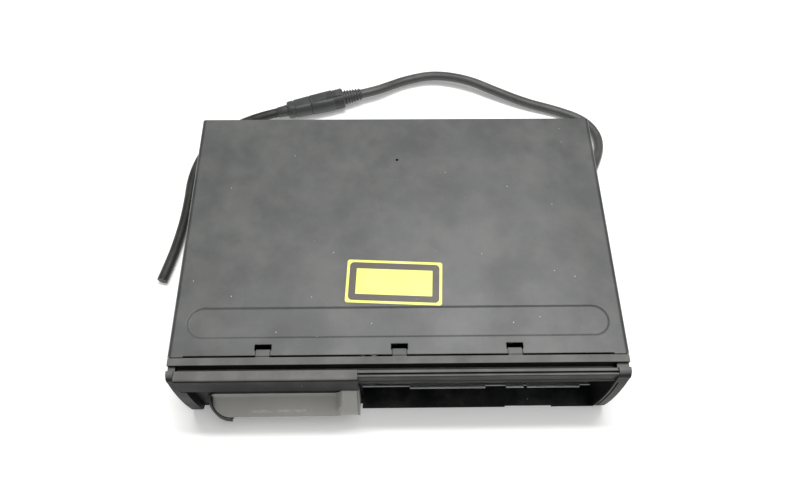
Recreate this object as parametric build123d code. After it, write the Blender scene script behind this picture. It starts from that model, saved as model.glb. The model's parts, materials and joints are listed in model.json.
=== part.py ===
from build123d import *
import math
import os

# A trunk-mounted compact disc changer that takes a magazine of six trays.
# Millimetres, X to the right, Y to the back, Z up, seen from the door's side.
# The origin is at the middle of the footprint, on the surface that the unit lies on.

# Case
WIDTH = 257.0
HEIGHT = 61.0
COVER_DEPTH = 164.0
COVER_SHEET = 1.0
COVER_EDGE_R = 2.5
COVER_HEM = 1.0
CHASSIS_SHEET = 1.2
CHASSIS_WALL_DROP = 6.0
SHEET_GAP = 0.2
PART_GAP = 0.4

# Door and grip reach forward of the cover's front edge
GRIP_REACH = 24.0
FRONT = (GRIP_REACH - COVER_DEPTH) / 2
REAR = FRONT + COVER_DEPTH

# Cover details, measured back from its front edge
RECESS_LENGTH = 240.0
RECESS_WIDTH = 18.8
RECESS_SETBACK = 20.1
RECESS_DEPTH = 0.9
RECESS_SLOPE_DEG = 50.0
SNAP_X = (-75.7, 0.1, 64.5)
SNAP_SETBACK = 5.2
SNAP_WINDOW = (9.4, 3.6)
SNAP_GAP = 0.25
SNAP_TONGUE = 7.8
SNAP_HOOK = 1.0
COVER_LIP_SETBACK = 0.6
PIN_HOLE_R = 0.85
PIN_HOLE_SETBACK = 131.2
COVER_EAR_REACH = 0.7
COVER_EAR_WIDTH = 9.0
LABEL_SIZE = (56.0, 27.5)
LABEL_THICK = 0.15
LABEL_SETBACK = 44.5
LABEL_X = -2.5
LABEL_TURN_DEG = -2.7
LABEL_CORNER_R = 1.5

# Front bezel, depths forward of the cover's front edge and drops below its top
BEZEL_INSET = 0.8
CHEEK_WIDTH = 6.8
CHEEK_CORNER_R = 6.0
CHEEK_GROOVE_DROP = 3.0
RIM_WIDTH = 1.3
RIM_LINE = (0.9, 1.2)
BEZEL_DROP = 0.2
BEZEL_REACH = 14.8
BEZEL_FOOT_R = 5.0
STRIP_BACK = 0.4
STRIP_FRONT = 4.7
GROOVE_FRONT = 7.7
GROOVE_DROP = 8.0
RAIL_DROP = 1.8
RAIL_GROOVE_BACK = 9.3
RAIL_GROOVE_FRONT = 10.5
RAIL_GROOVE_DROP = 4.2
RAIL_FRONT = 11.4
BEAM_BROW = 11.7
BEAM_BROW_DROP = 2.2
BEAM_FACE = 12.4
BEAM_LIP = (0.5, 1.0)
SLOT_DROP = 11.2
SHOULDER_DROP = 6.0
BROW_DROP = 2.1
SILL_TOP = 1.2
SILL_REACH = 13.6
SILL_SHORT_REACH = 10.5
SILL_NOTCH = (88.0, 117.0, 0.7)
INNER_TRACK_BACK = 6.4
INNER_TRACK_FRONT = 8.4
INNER_TRACK_DROP = 9.2
PANEL_BACK = 4.2
PANEL_FRONT = 5.6
FLANGE_DEPTH = 8.0
FLANGE_THICK = 1.4
CHEEK_POCKET = (9.0, 6.0, 7.0)
TAB_THICK = 1.2
WELD = 0.5

# Sliding door
DOOR_WIDTH = 100.2
DOOR_OVERLAP = 2.4
DOOR_SHEET = 1.3
DOOR_GAP = 0.35
DOOR_BACK = 8.0
DOOR_CORNER_R = 1.8
DOOR_LEDGE = 41.0
DOOR_SKIRT_FRONT = 10.4
DOOR_SKIRT_SHEET = 1.2
DOOR_BOTTOM = 3.2
TONGUE_THICK = 0.7
TONGUE_DEPTH = 1.9
INNER_DOOR_WIDTH = 56.0
INNER_DOOR_SHEET = 1.2
INNER_DOOR_DROP = 9.7

# Finger grip
GRIP_LEFT_SETBACK = 11.5
GRIP_LIP_REACH = 22.8
GRIP_LIP_HEIGHT = 17.5
GRIP_LIP_ROUND = 0.6
GRIP_SHELF_BACK = 22.5
GRIP_BEND = (14.6, 20.3)
GRIP_FOOT = 13.6
GRIP_WALL_RISE = 5.0
GRIP_SHELL = 2.4
GRIP_WALL_WIDTH = 9.5
GRIP_CORNER_R = 12.2
GRIP_SKIRT_Z = (13.0, 21.5)
GRIP_SKIRT_LIP = 17.0
GRIP_SKIRT_SHEET = 1.7
GRIP_SKIRT_WIDTH = 12.8

# Disc, trays and magazine
DISC_R = 60.0
TRAY_COUNT = 6
TRAY_PITCH = 5.8
TRAY_THICK = 3.6
TRAY_SIZE = (124.0, 122.0)
TRAY_CORNER_R = 8.0
TRAY_FLOOR_Z = 10.6
TRAY_DISC_CLEARANCE = 0.6
TRAY_DISC_DEPTH = 1.6
TRAY_HUB_R = 18.0
TRAY_RIM = 6.0
TRAY_TAB = (2.0, 14.0)
TRAY_TAB_OFFSET = 18.0
MAGAZINE_WIDTH = 132.0
MAGAZINE_DEPTH = 133.0
MAGAZINE_SIDE_GAP = 0.9
MAGAZINE_SETBACK = 2.0
MAGAZINE_FLOOR_Z = 8.6
MAGAZINE_WALL = 1.6
MAGAZINE_FLOOR = 1.3
MAGAZINE_TOP = 46.6
MAGAZINE_LID = 1.6
MAGAZINE_FINGER = (9.0, 1.2)
ARROW_SIZE = (28.0, 20.0)
ARROW_SETBACK = 20.0
ARROW_DEPTH = 0.4
SHELF_THICK = 1.2
SHELF_REACH = 6.0
SHELF_SETBACK = 2.0
SHELF_GAP = 0.5
TRAY_END_GAP = 5.0

# Loader frame under and around the magazine
LOADER_Z = 5.4
LOADER_SHEET = 1.2
LOADER_SIDE_GAP = 1.5
LOADER_RISE = 2.8
LOADER_BACK_GAP = 2.0
PORTAL_CLEARANCE = 1.0
LIP_REACH = 3.2
LIP_R = 0.9
LIP_SPANS = ((19.0, 66.0), (79.0, 90.0), (92.0, 125.0))
GUIDE_HEIGHT = 3.2

# Eject button and lever
BUTTON_SIZE = (5.6, 2.6, 5.2)
BUTTON_ROOM = 10.0
BUTTON_OFFSET = 4.3
BUTTON_DROP = 3.2
BUTTON_FACE = 2.0
BUTTON_TRAVEL = 2.5
BUTTON_EDGE_R = 0.6
SPRING_CLOSED = 2.9
STEM_SIDE = 2.6
STEM_END = 18.0
STEM_CLEARANCE = 0.3
SPRING_WALL = 0.5
LEVER_OFFSET = 3.0
LEVER_SETBACK = 22.0
LEVER_THICK = 1.6
LEVER_DROP = 0.8
LEVER_WIDTH = 4.0
LEVER_PIN_R = 1.5
LEVER_GAP = 0.9
LEVER_ARM = 18.0
LEVER_REACH = 8.3
LEVER_SHELF = (4.0, 8.0)
LEVER_PIN_RISE = 1.2
SHELF_BRACKET_DROP = 1.9
SHELF_BRACKET_THICK = 1.2

# Drive station: screws, gears and motors behind the trays
STATION_SETBACK = 146.0
SCREW_R = 2.5
POST_R = 2.0
LIFT_POST_OFFSET = 8.0
CLAMP_POST_OFFSET = 2.0
POST_TO_SCREW = 14.0
POST_DROP = 3.0
RUNNING = 0.06
GEAR_MODULE = 0.5
GEAR_TEETH = 36
PINION_TEETH = 14
GEAR_Z = 3.2
GEAR_THICK = 2.6
GEAR_BACKLASH = 0.14
PRESSURE_DEG = 20.0
STATION_PLATE_Z = 1.4
STATION_PLATE = 1.2
STATION_MARGIN = 14.0
STATION_DEPTH = (11.0, 13.0)
PILLAR_OFFSET = 6.0
BRACKET_HALF = 8.0
POST_MARGIN = 1.5
GEAR_FLOAT = 0.1
BRACKET_Z = 7.0
BRACKET_THICK = 1.2
MOTOR_R = 6.0
MOTOR_HEIGHT = 18.0
MOTOR_SHAFT_R = 1.0
MOTOR_BUSH = (2.0, 1.2)
MOTOR_EDGE = 1.0

# Play deck and clamp bridge
SPINDLE_OFFSET = 35.0
DECK_Z = 6.2
DECK_SHEET = 1.2
DECK_SIDE_GAP = 10.1
DECK_PORTAL_GAP = 1.6
DECK_RIM = 3.0
DECK_CORNER_R = 4.0
SHAFT_HOLE_R = 4.0
DECK_BACK_SETBACK = 132.0
BOSS_R = 5.0
JOIN = 0.5
BOSS_HEIGHT = 8.0
STATION_BACK_SETBACK = 157.0
TURNTABLE_R = 15.0
TURNTABLE_HUB_R = 7.2
TURNTABLE_THICK = 1.2
TURNTABLE_TOP = 9.0
TURNTABLE_HUB_RISE = 1.0
TURNTABLE_NECK_R = 2.0
TURNTABLE_MARK = (2.0, 0.3)
SPINDLE_MOTOR_R = 11.0
FLOOR_CLEARANCE = 0.6
ROD_R = 1.2
ROD_OFFSET = 19.0
ROD_Z = 4.2
ROD_HOLDER = (2.6, 1.2, 2.2)
PICKUP_SIZE = (44.0, 12.0, 4.2)
PICKUP_INNER_R = 24.0
PICKUP_TRAVEL = 33.0
PICKUP_END_GAP = 1.0
LENS_R = 2.0
LENS_RISE = 1.6
LENS_EDGE_R = 0.7
PICKUP_HEAD = (9.0, 5.0, 1.4)
PICKUP_ARM = (2.4, 3.0, 2.1, 1.6)
SLED_OFFSET = 27.0
SLED_SCREW_R = 1.2
SLED_MOTOR_R = 2.8
SLED_MOTOR_LENGTH = 14.0
SLED_MOTOR_SETBACK = 4.0
SLED_FLANGE = 5.0
SLED_SCREW_FRONT = 7.0
SLED_SCREW_TAIL = 0.4
BRIDGE_DROP = 6.4
BRIDGE_SHEET = 1.2
BRIDGE_WIDTH = 20.0
CLAMPER_R = 13.0
CLAMPER_HANG = 7.0
CLAMPER_THICK = 3.0
CLAMPER_NECK_R = 4.0
CLAMPER_CAP = (2.0, 0.3, 1.2)
CLAMPER_DIMPLE = 2.0
BRIDGE_BOSS_DROP = 5.0

# Dampers, springs and main board
MOUNT_EDGE = 8.0
MOUNT_ROWS = (22.0, 120.0)
DAMPER_R = 5.0
DAMPER_BORE_R = 1.6
SPRING_OFFSET = 14.0
SPRING_OUTER_R = 4.0
SPRING_INNER_R = 3.2
BOARD_THICK = 1.6
BOARD_OFFSET = 18.0
BOARD_SETBACK = (36.0, 138.0)
CHIP_EDGE = 0.3
CAPACITOR_EDGE_R = 0.4
CHIP_SPECS = ((24.0, 60.0, 14.0, 14.0, 2.2), (54.0, 64.0, 20.0, 14.0, 2.4), (86.0, 60.0, 10.0, 10.0, 1.8),
              (30.0, 100.0, 18.0, 8.0, 2.0), (90.0, 108.0, 12.0, 16.0, 2.4))
CAPACITOR_SPECS = ((56.0, 100.0, 3.2, 2.6), (66.0, 108.0, 2.5, 2.4), (46.0, 118.0, 3.2, 2.6),
                   (72.0, 92.0, 2.0, 2.2))

# Fasteners, dials and side mounts
SCREW_SHANK_R = 1.25
SCREW_HEAD_R = 2.4
SCREW_LENGTH = 5.0
SCREW_CLEARANCE = 0.05
CROSS_SIZE = (2.6, 0.5, 0.5)
COVER_SCREW_SETBACKS = (14.0, 154.0)
COVER_SCREW_Z = 7.0
MOUNT_HOLE_R = 2.1
MOUNT_ACCESS_R = 4.0
MOUNT_SETBACKS = (30.0, 110.0)
MOUNT_Z = 34.0
NUT_OUTER_R = 4.5
NUT_THICK = 2.6
DIAL_SETBACK = 140.0
DIAL_Z = 26.0
DIAL_HEAD_R = 6.0
DIAL_HEAD_THICK = 0.9
DIAL_GAP = 0.1
DIAL_SHAFT_R = 2.4
DIAL_FLANGE_R = 4.2
DIAL_SLOT = (9.0, 1.2, 0.5)
DIAL_CLIP = 1.4

# Lead, plug and harness tail, points as measured back from the cover's front edge
LEAD_R = 3.5
GLAND_SETBACK = 100.0
GLAND_BOOT_END = 124.0
GLAND_X = 137.0
GLAND_Z = 8.5
GLAND_BLOCK_R = 5.6
GLAND_NECK_R = 4.2
GLAND_RIBS = 5
GLAND_RIB_START = 0.4
GLAND_RIB_STEP = 0.11
RIB_DEPTH = 0.3
LEAD_ROUTE = (
    (137.0, 124.0, 8.5), (137.0, 136.0, 8.5), (139.6, 150.0, 6.0), (147.0, 165.0, 4.0),
    (153.5, 180.0, 3.6), (153.6, 195.0, 3.6), (144.5, 208.5, 3.6), (125.0, 217.5, 3.8),
    (102.0, 224.0, 5.0), (79.0, 234.0, 7.0), (57.0, 245.5, 8.0), (31.0, 251.5, 7.0),
    (9.0, 247.0, 5.8), (-4.5, 240.4, 6.6), (-15.2, 234.4, 8.0), (-26.8, 231.1, 8.0),
)
PLUG_BOOT_LENGTH = 14.0
PLUG_BOOT_R = (4.2, 5.6)
PLUG_BOOT_RIBS = 6
PLUG_RIB_DEPTH = 0.4
PLUG_RIB_WIDTH = 0.4
PLUG_EDGE = 1.0
PLUG_BODY_LENGTH = 26.0
PLUG_BODY_R = 7.2
PLUG_COLLAR_R = 7.9
PLUG_COLLAR_LENGTH = 3.0
PLUG_COLLAR_INSET = 2.0
LATCH_SIZE = (15.0, 6.0, 2.0)
LATCH_OFFSET = -2.5
LATCH_ROOM = 1.0
LATCH_EDGE_R = 0.6
SOCKET_LENGTH = 18.0
SOCKET_R = 7.9
SOCKET_EDGE_R = 1.2
NOSE_LENGTH = 8.0
NOSE_R = 5.0
NOSE_FLARE = 1.0
TAIL_R = 3.5
TAIL_START = 11.0
TAIL_ROUTE_AFTER_NOSE = (
    (-118.5, 204.6, 5.2), (-131.5, 195.6, 3.8), (-141.0, 183.0, 3.8),
    (-146.8, 168.6, 3.8), (-149.3, 153.0, 3.8), (-149.0, 137.0, 3.8), (-149.8, 121.0, 3.8),
    (-151.8, 105.0, 3.8), (-154.8, 89.0, 3.8), (-158.8, 73.5, 3.8),
)


def back(setback):
    """The Y that lies this far behind the cover's front edge, or in front of it if negative."""
    return FRONT + setback


def block(x, y, z):
    """A box between two values along each axis."""
    size = [b - a for a, b in (x, y, z)]
    middle = [(a + b) / 2 for a, b in (x, y, z)]
    return Pos(*middle) * Box(*size)


def rod(radius, start, end):
    """A cylinder from one point to another."""
    start, end = Vector(*start), Vector(*end)
    plane = Plane(origin=start, z_dir=end - start)
    return extrude(plane * Circle(radius), (end - start).length)


def cone(radius_start, radius_end, start, end):
    """A cone frustum from one point to another."""
    start, end = Vector(*start), Vector(*end)
    length = (end - start).length
    plane = Plane(origin=start + (end - start) / 2, z_dir=end - start)
    return plane * Cone(radius_start, radius_end, length)


def along_x(outline, x):
    """An outline of (y, z) lines, carried from one X to another."""
    face = Plane.YZ * make_face(outline)
    return Pos(x[0], 0, 0) * extrude(face, x[1] - x[0], dir=(1, 0, 0))


def upright(outline, z):
    """An outline of (x, y) lines, carried up from one height to another."""
    return Pos(0, 0, z[0]) * extrude(make_face(outline), z[1] - z[0], dir=(0, 0, 1))


def ring(outer, inner, start, end):
    """A sleeve from one point to another."""
    return rod(outer, start, end) - rod(inner, start, end)


def gear(teeth, bore, phase_deg=0.0):
    """A spur gear in the XY plane, with involute flanks, a tooth at its phase angle."""
    pitch_r = GEAR_MODULE * teeth / 2
    base_r = pitch_r * math.cos(math.radians(PRESSURE_DEG))
    tip_r = pitch_r + 0.8 * GEAR_MODULE
    root_r = pitch_r - 1.1 * GEAR_MODULE

    def flank(r):
        angle = math.acos(min(1.0, base_r / r))
        return math.tan(angle) - angle

    half = math.pi / (2 * teeth) - GEAR_BACKLASH / (2 * pitch_r)
    radii = [max(base_r, root_r) + (tip_r - max(base_r, root_r)) * i / 3 for i in range(4)]
    side = [(r, half + flank(pitch_r) - flank(r)) for r in radii]
    side = [(root_r, side[0][1])] + side if root_r < base_r else side
    points = []
    for tooth in range(teeth):
        middle = math.radians(phase_deg) + 2 * math.pi * tooth / teeth
        for r, a in side:
            points.append((r * math.cos(middle - a), r * math.sin(middle - a)))
        for r, a in reversed(side):
            points.append((r * math.cos(middle + a), r * math.sin(middle + a)))
    outline = make_face(Polyline(*points, close=True))
    return extrude(outline - Circle(bore), GEAR_THICK)


def tube(points, radius):
    """A round cable along straight runs and the widest arcs that they allow, with its arcs' radii."""
    points = [Vector(*p) for p in points]
    radii = []
    for before, here, after in zip(points, points[1:], points[2:]):
        turn = math.radians((here - before).get_angle(after - here))
        run = min((here - before).length, (after - here).length)
        radii.append(0.45 * run / math.tan(turn / 2))
    path = FilletPolyline(*points, radius=radii)
    start = Plane(origin=points[0], z_dir=points[1] - points[0])
    solid = sweep(start * Circle(radius), path=path)
    expected = math.pi * radius ** 2 * path.length
    print("cable length", round(path.length, 1), "least radius", round(min(radii), 1),
          "volume over section by length", round(solid.volume / expected, 4))
    return solid


def sunk_screw(point, direction):
    """A countersunk screw whose head is flush at the point and whose shank runs along the direction."""
    point, direction = Vector(*point), Vector(*direction)
    rise = SCREW_HEAD_R - SCREW_SHANK_R
    head_end = point + direction * rise
    body = cone(SCREW_HEAD_R, SCREW_SHANK_R, point, head_end)
    body += rod(SCREW_SHANK_R, head_end, point + direction * SCREW_LENGTH)
    plane = Plane(origin=point, z_dir=direction)
    for turn in (0, 90):
        body -= plane * Rot(0, 0, turn) * Box(CROSS_SIZE[0], CROSS_SIZE[1], 2 * CROSS_SIZE[2])
    return body


def sunk_hole(point, direction):
    """The space that a countersunk screw needs, with its clearance."""
    point, direction = Vector(*point), Vector(*direction)
    wide = SCREW_HEAD_R + SCREW_CLEARANCE
    narrow = SCREW_SHANK_R + SCREW_CLEARANCE
    outside = point - direction * SCREW_CLEARANCE
    hole = cone(wide + SCREW_CLEARANCE, narrow, outside, point + direction * (wide - narrow))
    return hole + rod(narrow, outside, point + direction * (SCREW_LENGTH + PART_GAP))


# Places that several pieces share

HALF = WIDTH / 2
COVER_INSIDE = HALF - COVER_SHEET
CHASSIS_OUTSIDE = COVER_INSIDE - SHEET_GAP
CHASSIS_INSIDE = CHASSIS_OUTSIDE - CHASSIS_SHEET
CHASSIS_TOP = HEIGHT - CHASSIS_WALL_DROP
BEZEL_HALF = HALF - BEZEL_INSET
SLOT_RIGHT = BEZEL_HALF - CHEEK_WIDTH
DOOR_LEFT = -SLOT_RIGHT - DOOR_OVERLAP
SKIRT_LEFT = -SLOT_RIGHT + DOOR_GAP
RIM_EDGE = DOOR_LEFT - DOOR_GAP
COVER_FRONT = FRONT + COVER_LIP_SETBACK
EAR_FRONT = COVER_FRONT - COVER_EAR_REACH
DOOR_RIGHT = DOOR_LEFT + DOOR_WIDTH
DOOR_TRAVEL = SLOT_RIGHT - DOOR_GAP - DOOR_RIGHT
DOOR_FACE = BEAM_FACE + DOOR_GAP + DOOR_SHEET
RAIL_TOP = HEIGHT - RAIL_DROP
DOOR_TOP = RAIL_TOP + DOOR_GAP + DOOR_SHEET
SLOT_TOP = HEIGHT - SLOT_DROP
BEZEL_TOP = HEIGHT - BEZEL_DROP
MAGAZINE_RIGHT = SLOT_RIGHT - MAGAZINE_SIDE_GAP
MAGAZINE_LEFT = MAGAZINE_RIGHT - MAGAZINE_WIDTH
MAGAZINE_X = (MAGAZINE_LEFT, MAGAZINE_RIGHT)
MAGAZINE_BACK = MAGAZINE_SETBACK + MAGAZINE_DEPTH
SLOT_LEFT = MAGAZINE_LEFT - BUTTON_ROOM
INNER_DOOR_RIGHT = SLOT_LEFT - DOOR_TRAVEL / 2 + INNER_DOOR_WIDTH
BUTTON_X = SLOT_LEFT + BUTTON_OFFSET
BUTTON_Z = SLOT_TOP - BUTTON_DROP
LEVER_X = SLOT_LEFT - LEVER_OFFSET
LEVER_Z = BUTTON_Z - LEVER_DROP
SHELF_BRACKET_Z = LEVER_Z - SHELF_BRACKET_DROP
TRAY_RIGHT = MAGAZINE_RIGHT - MAGAZINE_WALL - PART_GAP
TRAY_X = (TRAY_RIGHT - TRAY_SIZE[0], TRAY_RIGHT)
TRAY_SETBACK = MAGAZINE_SETBACK + MAGAZINE_WALL + TRAY_END_GAP + PART_GAP
DISC_X = (TRAY_X[0] + TRAY_X[1]) / 2
DISC_SETBACK = TRAY_SETBACK + TRAY_SIZE[1] / 2
SPINDLE_X = SLOT_LEFT - SPINDLE_OFFSET
LOADER_TOP = MAGAZINE_TOP + LOADER_RISE
LOADER_RIGHT = MAGAZINE_X[1] + LOADER_SIDE_GAP
PORTAL_SETBACK = -BUTTON_FACE + BUTTON_SIZE[1] + BUTTON_TRAVEL + SPRING_CLOSED
LOADER_BACK = MAGAZINE_BACK + LOADER_BACK_GAP
GEAR_DISTANCE = GEAR_MODULE * (GEAR_TEETH + PINION_TEETH) / 2
DECK_LEFT = DECK_SIDE_GAP - CHASSIS_INSIDE
DECK_RIGHT = SLOT_LEFT - DECK_PORTAL_GAP
LIFT_POST_X = DECK_LEFT + LIFT_POST_OFFSET
LIFT_SCREW_X = LIFT_POST_X + POST_TO_SCREW
CLAMP_POST_X = MAGAZINE_LEFT - CLAMP_POST_OFFSET
CLAMP_SCREW_X = CLAMP_POST_X - POST_TO_SCREW
LIFT_MOTOR_X = LIFT_SCREW_X + GEAR_DISTANCE
CLAMP_MOTOR_X = CLAMP_SCREW_X - GEAR_DISTANCE
STATION_Y = back(STATION_SETBACK)
POST_TOP = HEIGHT - POST_DROP
BRIDGE_Z = HEIGHT - BRIDGE_DROP
CLAMPER_BOTTOM = BRIDGE_Z - CLAMPER_HANG
LENS_SETBACK = DISC_SETBACK - PICKUP_INNER_R
WINDOW_FRONT = LENS_SETBACK - PICKUP_SIZE[1] / 2 - PICKUP_TRAVEL - PICKUP_END_GAP
WINDOW_BACK = LENS_SETBACK + PICKUP_SIZE[1] / 2 + PICKUP_END_GAP
SLED_X = SPINDLE_X + SLED_OFFSET
MOUNT_XY = [(x, row) for row in MOUNT_ROWS for x in (MAGAZINE_LEFT + MOUNT_EDGE, MAGAZINE_RIGHT - MOUNT_EDGE)]
PLUG_END = PLUG_BOOT_LENGTH + PLUG_BODY_LENGTH
LATCH_MIDDLE = PLUG_BOOT_LENGTH + PLUG_BODY_LENGTH / 2 + LATCH_OFFSET


def cover_screw_points():
    """Where the four cover screws sit, with the way that each one points."""
    spots = []
    for side in (-1, 1):
        for setback in COVER_SCREW_SETBACKS:
            spots.append(((side * HALF, back(setback), COVER_SCREW_Z), (-side, 0, 0)))
    return spots


def base_screw_points():
    """Where the base screws sit, under the dampers."""
    return [((x, back(setback), 0), (0, 0, 1)) for x, setback in MOUNT_XY]


def pressed_recess(top, widen):
    """The sloped space of the cover's long pressed recess, below a given height."""
    outline = SlotOverall(RECESS_LENGTH + widen, RECESS_WIDTH + widen)
    plane = Plane(origin=(0, back(RECESS_SETBACK), top), z_dir=(0, 0, -1))
    return extrude(plane * outline, RECESS_DEPTH, taper=RECESS_SLOPE_DEG)


def top_cover():
    """The folded steel cover: top, two side walls, and a pressed recess."""
    depth = (COVER_FRONT, REAR)
    outer = block((-HALF, HALF), depth, (COVER_HEM, HEIGHT))
    outer = fillet(outer.edges().filter_by(Axis.Y).group_by(Axis.Z)[-1], COVER_EDGE_R)
    inner = block((-COVER_INSIDE, COVER_INSIDE), depth, (-COVER_HEM, HEIGHT - COVER_SHEET))
    inner = fillet(inner.edges().filter_by(Axis.Y).group_by(Axis.Z)[-1], COVER_EDGE_R - COVER_SHEET)
    shell = outer - inner
    ear = block((HALF - COVER_EAR_WIDTH, HALF - COVER_EDGE_R), (EAR_FRONT, COVER_FRONT),
                (HEIGHT - COVER_SHEET, HEIGHT))
    shell += ear + mirror(ear, Plane.YZ)
    shell += pressed_recess(HEIGHT - COVER_SHEET, 0.0)
    shell -= pressed_recess(HEIGHT, 0.0)
    notch = SNAP_TONGUE / 2 + SNAP_GAP
    for x in SNAP_X:
        window = Box(SNAP_WINDOW[0], SNAP_WINDOW[1], 4 * COVER_SHEET)
        shell -= Pos(x, back(SNAP_SETBACK), HEIGHT) * window
        shell -= block((x - notch, x + notch), (COVER_FRONT - 1, back(SNAP_SETBACK)),
                       (HEIGHT - 2 * COVER_SHEET, HEIGHT + 1))
    shell -= rod(PIN_HOLE_R, (0, back(PIN_HOLE_SETBACK), HEIGHT - 2), (0, back(PIN_HOLE_SETBACK), HEIGHT + 1))
    for side in (-1, 1):
        for setback in MOUNT_SETBACKS:
            shell -= side_hole(MOUNT_ACCESS_R, side, back(setback), MOUNT_Z)
        shell -= side_hole(DIAL_HEAD_R + DIAL_GAP, side, back(DIAL_SETBACK), DIAL_Z)
    shell -= side_hole(GLAND_NECK_R + DIAL_GAP, 1, back(GLAND_SETBACK), GLAND_Z)
    for point, direction in cover_screw_points():
        shell -= sunk_hole(point, direction)
    return shell


def side_hole(radius, side, y, z):
    """A round cut through both sheets of one side wall."""
    return rod(radius, (side * (CHASSIS_INSIDE - 1), y, z), (side * (HALF + 1), y, z))


def base_tray():
    """The chassis: floor, two side walls and the rear wall, folded from one sheet."""
    depth = (back(SHEET_GAP), REAR)
    floor = block((-CHASSIS_OUTSIDE, CHASSIS_OUTSIDE), depth, (0, CHASSIS_SHEET))
    wall = block((CHASSIS_INSIDE, CHASSIS_OUTSIDE), (back(FLANGE_DEPTH + PART_GAP), REAR),
                 (0, CHASSIS_TOP))
    rear = block((-CHASSIS_OUTSIDE, CHASSIS_OUTSIDE), (REAR - CHASSIS_SHEET, REAR),
                 (0, HEIGHT - COVER_SHEET - SHEET_GAP))
    rear = fillet(rear.edges().filter_by(Axis.Y).group_by(Axis.Z)[-1], COVER_EDGE_R - COVER_SHEET)
    tray = floor + wall + mirror(wall, Plane.YZ) + rear
    for side in (-1, 1):
        for setback in MOUNT_SETBACKS:
            tray -= side_hole(MOUNT_HOLE_R, side, back(setback), MOUNT_Z)
        tray -= side_hole(DIAL_SHAFT_R + RUNNING, side, back(DIAL_SETBACK), DIAL_Z)
    tray -= side_hole(GLAND_NECK_R + DIAL_GAP, 1, back(GLAND_SETBACK), GLAND_Z)
    for point, direction in cover_screw_points() + base_screw_points():
        tray -= sunk_hole(point, direction)
    return tray


def cheek_outline():
    """The bezel's side view in (y, z): flat top, bowed front and a rounded foot."""
    top_front = (back(-9.6), BEZEL_TOP)
    brow = (back(-11.9), HEIGHT - BROW_DROP)
    shoulder = (back(-12.7), HEIGHT - SHOULDER_DROP)
    belly = (back(-BEZEL_REACH), 26.0)
    shin = (back(-14.0), BEZEL_FOOT_R)
    foot = (back(-11.6), 0.0)
    start = (back(-STRIP_BACK), BEZEL_TOP)
    heel = (back(-STRIP_BACK), 0.0)
    return (Line(start, top_front) + ThreePointArc(top_front, brow, shoulder)
            + ThreePointArc(shoulder, belly, shin) + ThreePointArc(shin, (back(-13.3), 1.6), foot)
            + Line(foot, heel) + Line(heel, start))


def beam_outline():
    """The top beam's section in (y, z): strip, groove, two track ribs, brow and the lip over the slot."""
    lip_low, lip_high = SLOT_DROP - BEAM_LIP[0], SLOT_DROP - BEAM_LIP[1]
    points = (
        (-STRIP_BACK, BEZEL_DROP), (-STRIP_FRONT, BEZEL_DROP), (-STRIP_FRONT, GROOVE_DROP),
        (-GROOVE_FRONT, GROOVE_DROP), (-GROOVE_FRONT, RAIL_DROP), (-RAIL_GROOVE_BACK, RAIL_DROP),
        (-RAIL_GROOVE_BACK, RAIL_GROOVE_DROP), (-RAIL_GROOVE_FRONT, RAIL_GROOVE_DROP),
        (-RAIL_GROOVE_FRONT, RAIL_DROP), (-RAIL_FRONT, RAIL_DROP), (-BEAM_BROW, BEAM_BROW_DROP),
        (-BEAM_BROW, lip_high), (-BEAM_FACE, lip_low), (-BEAM_FACE, SLOT_DROP),
        (-INNER_TRACK_FRONT, SLOT_DROP), (-INNER_TRACK_FRONT, INNER_TRACK_DROP),
        (-INNER_TRACK_BACK, INNER_TRACK_DROP), (-INNER_TRACK_BACK, SLOT_DROP), (-STRIP_BACK, SLOT_DROP),
    )
    return Polyline(*[(back(y), HEIGHT - drop) for y, drop in points], close=True)


def bezel_cheek():
    """The right cheek: bowed front, rounded lower corner, a pocket behind and a flange for the chassis."""
    cheek = along_x(cheek_outline(), (SLOT_RIGHT, BEZEL_HALF))
    foot_edges = cheek.edges().filter_by(GeomType.CIRCLE, reverse=True).filter_by(Axis.Y)
    foot_edges = foot_edges.group_by(Axis.X)[-1].group_by(Axis.Z)
    cheek = fillet(foot_edges[0], CHEEK_CORNER_R)
    pocket_front, pocket_bottom, pocket_drop = CHEEK_POCKET
    cheek -= block((SLOT_RIGHT + FLANGE_THICK, BEZEL_HALF - FLANGE_THICK), (back(-pocket_front), back(1)),
                   (pocket_bottom, HEIGHT - pocket_drop))
    cheek -= block((SLOT_RIGHT, HALF), (back(-GROOVE_FRONT), back(-STRIP_FRONT)),
                   (HEIGHT - CHEEK_GROOVE_DROP, HEIGHT))
    return cheek + block((CHASSIS_OUTSIDE - FLANGE_THICK, CHASSIS_OUTSIDE),
                         (back(-STRIP_BACK - WELD), back(FLANGE_DEPTH)), (BEZEL_FOOT_R, CHASSIS_TOP))


def rim_line():
    """The fine line that sets the right cheek's rim apart from its bowed front."""
    width, depth = RIM_LINE
    start = SLOT_RIGHT + RIM_WIDTH
    front = along_x(cheek_outline(), (start, start + width))
    line = front - Pos(0, depth, 0) * front
    return line & block((start, start + width), (back(-2 * BEZEL_REACH), back(-RAIL_FRONT)), (0, SLOT_TOP))


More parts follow.
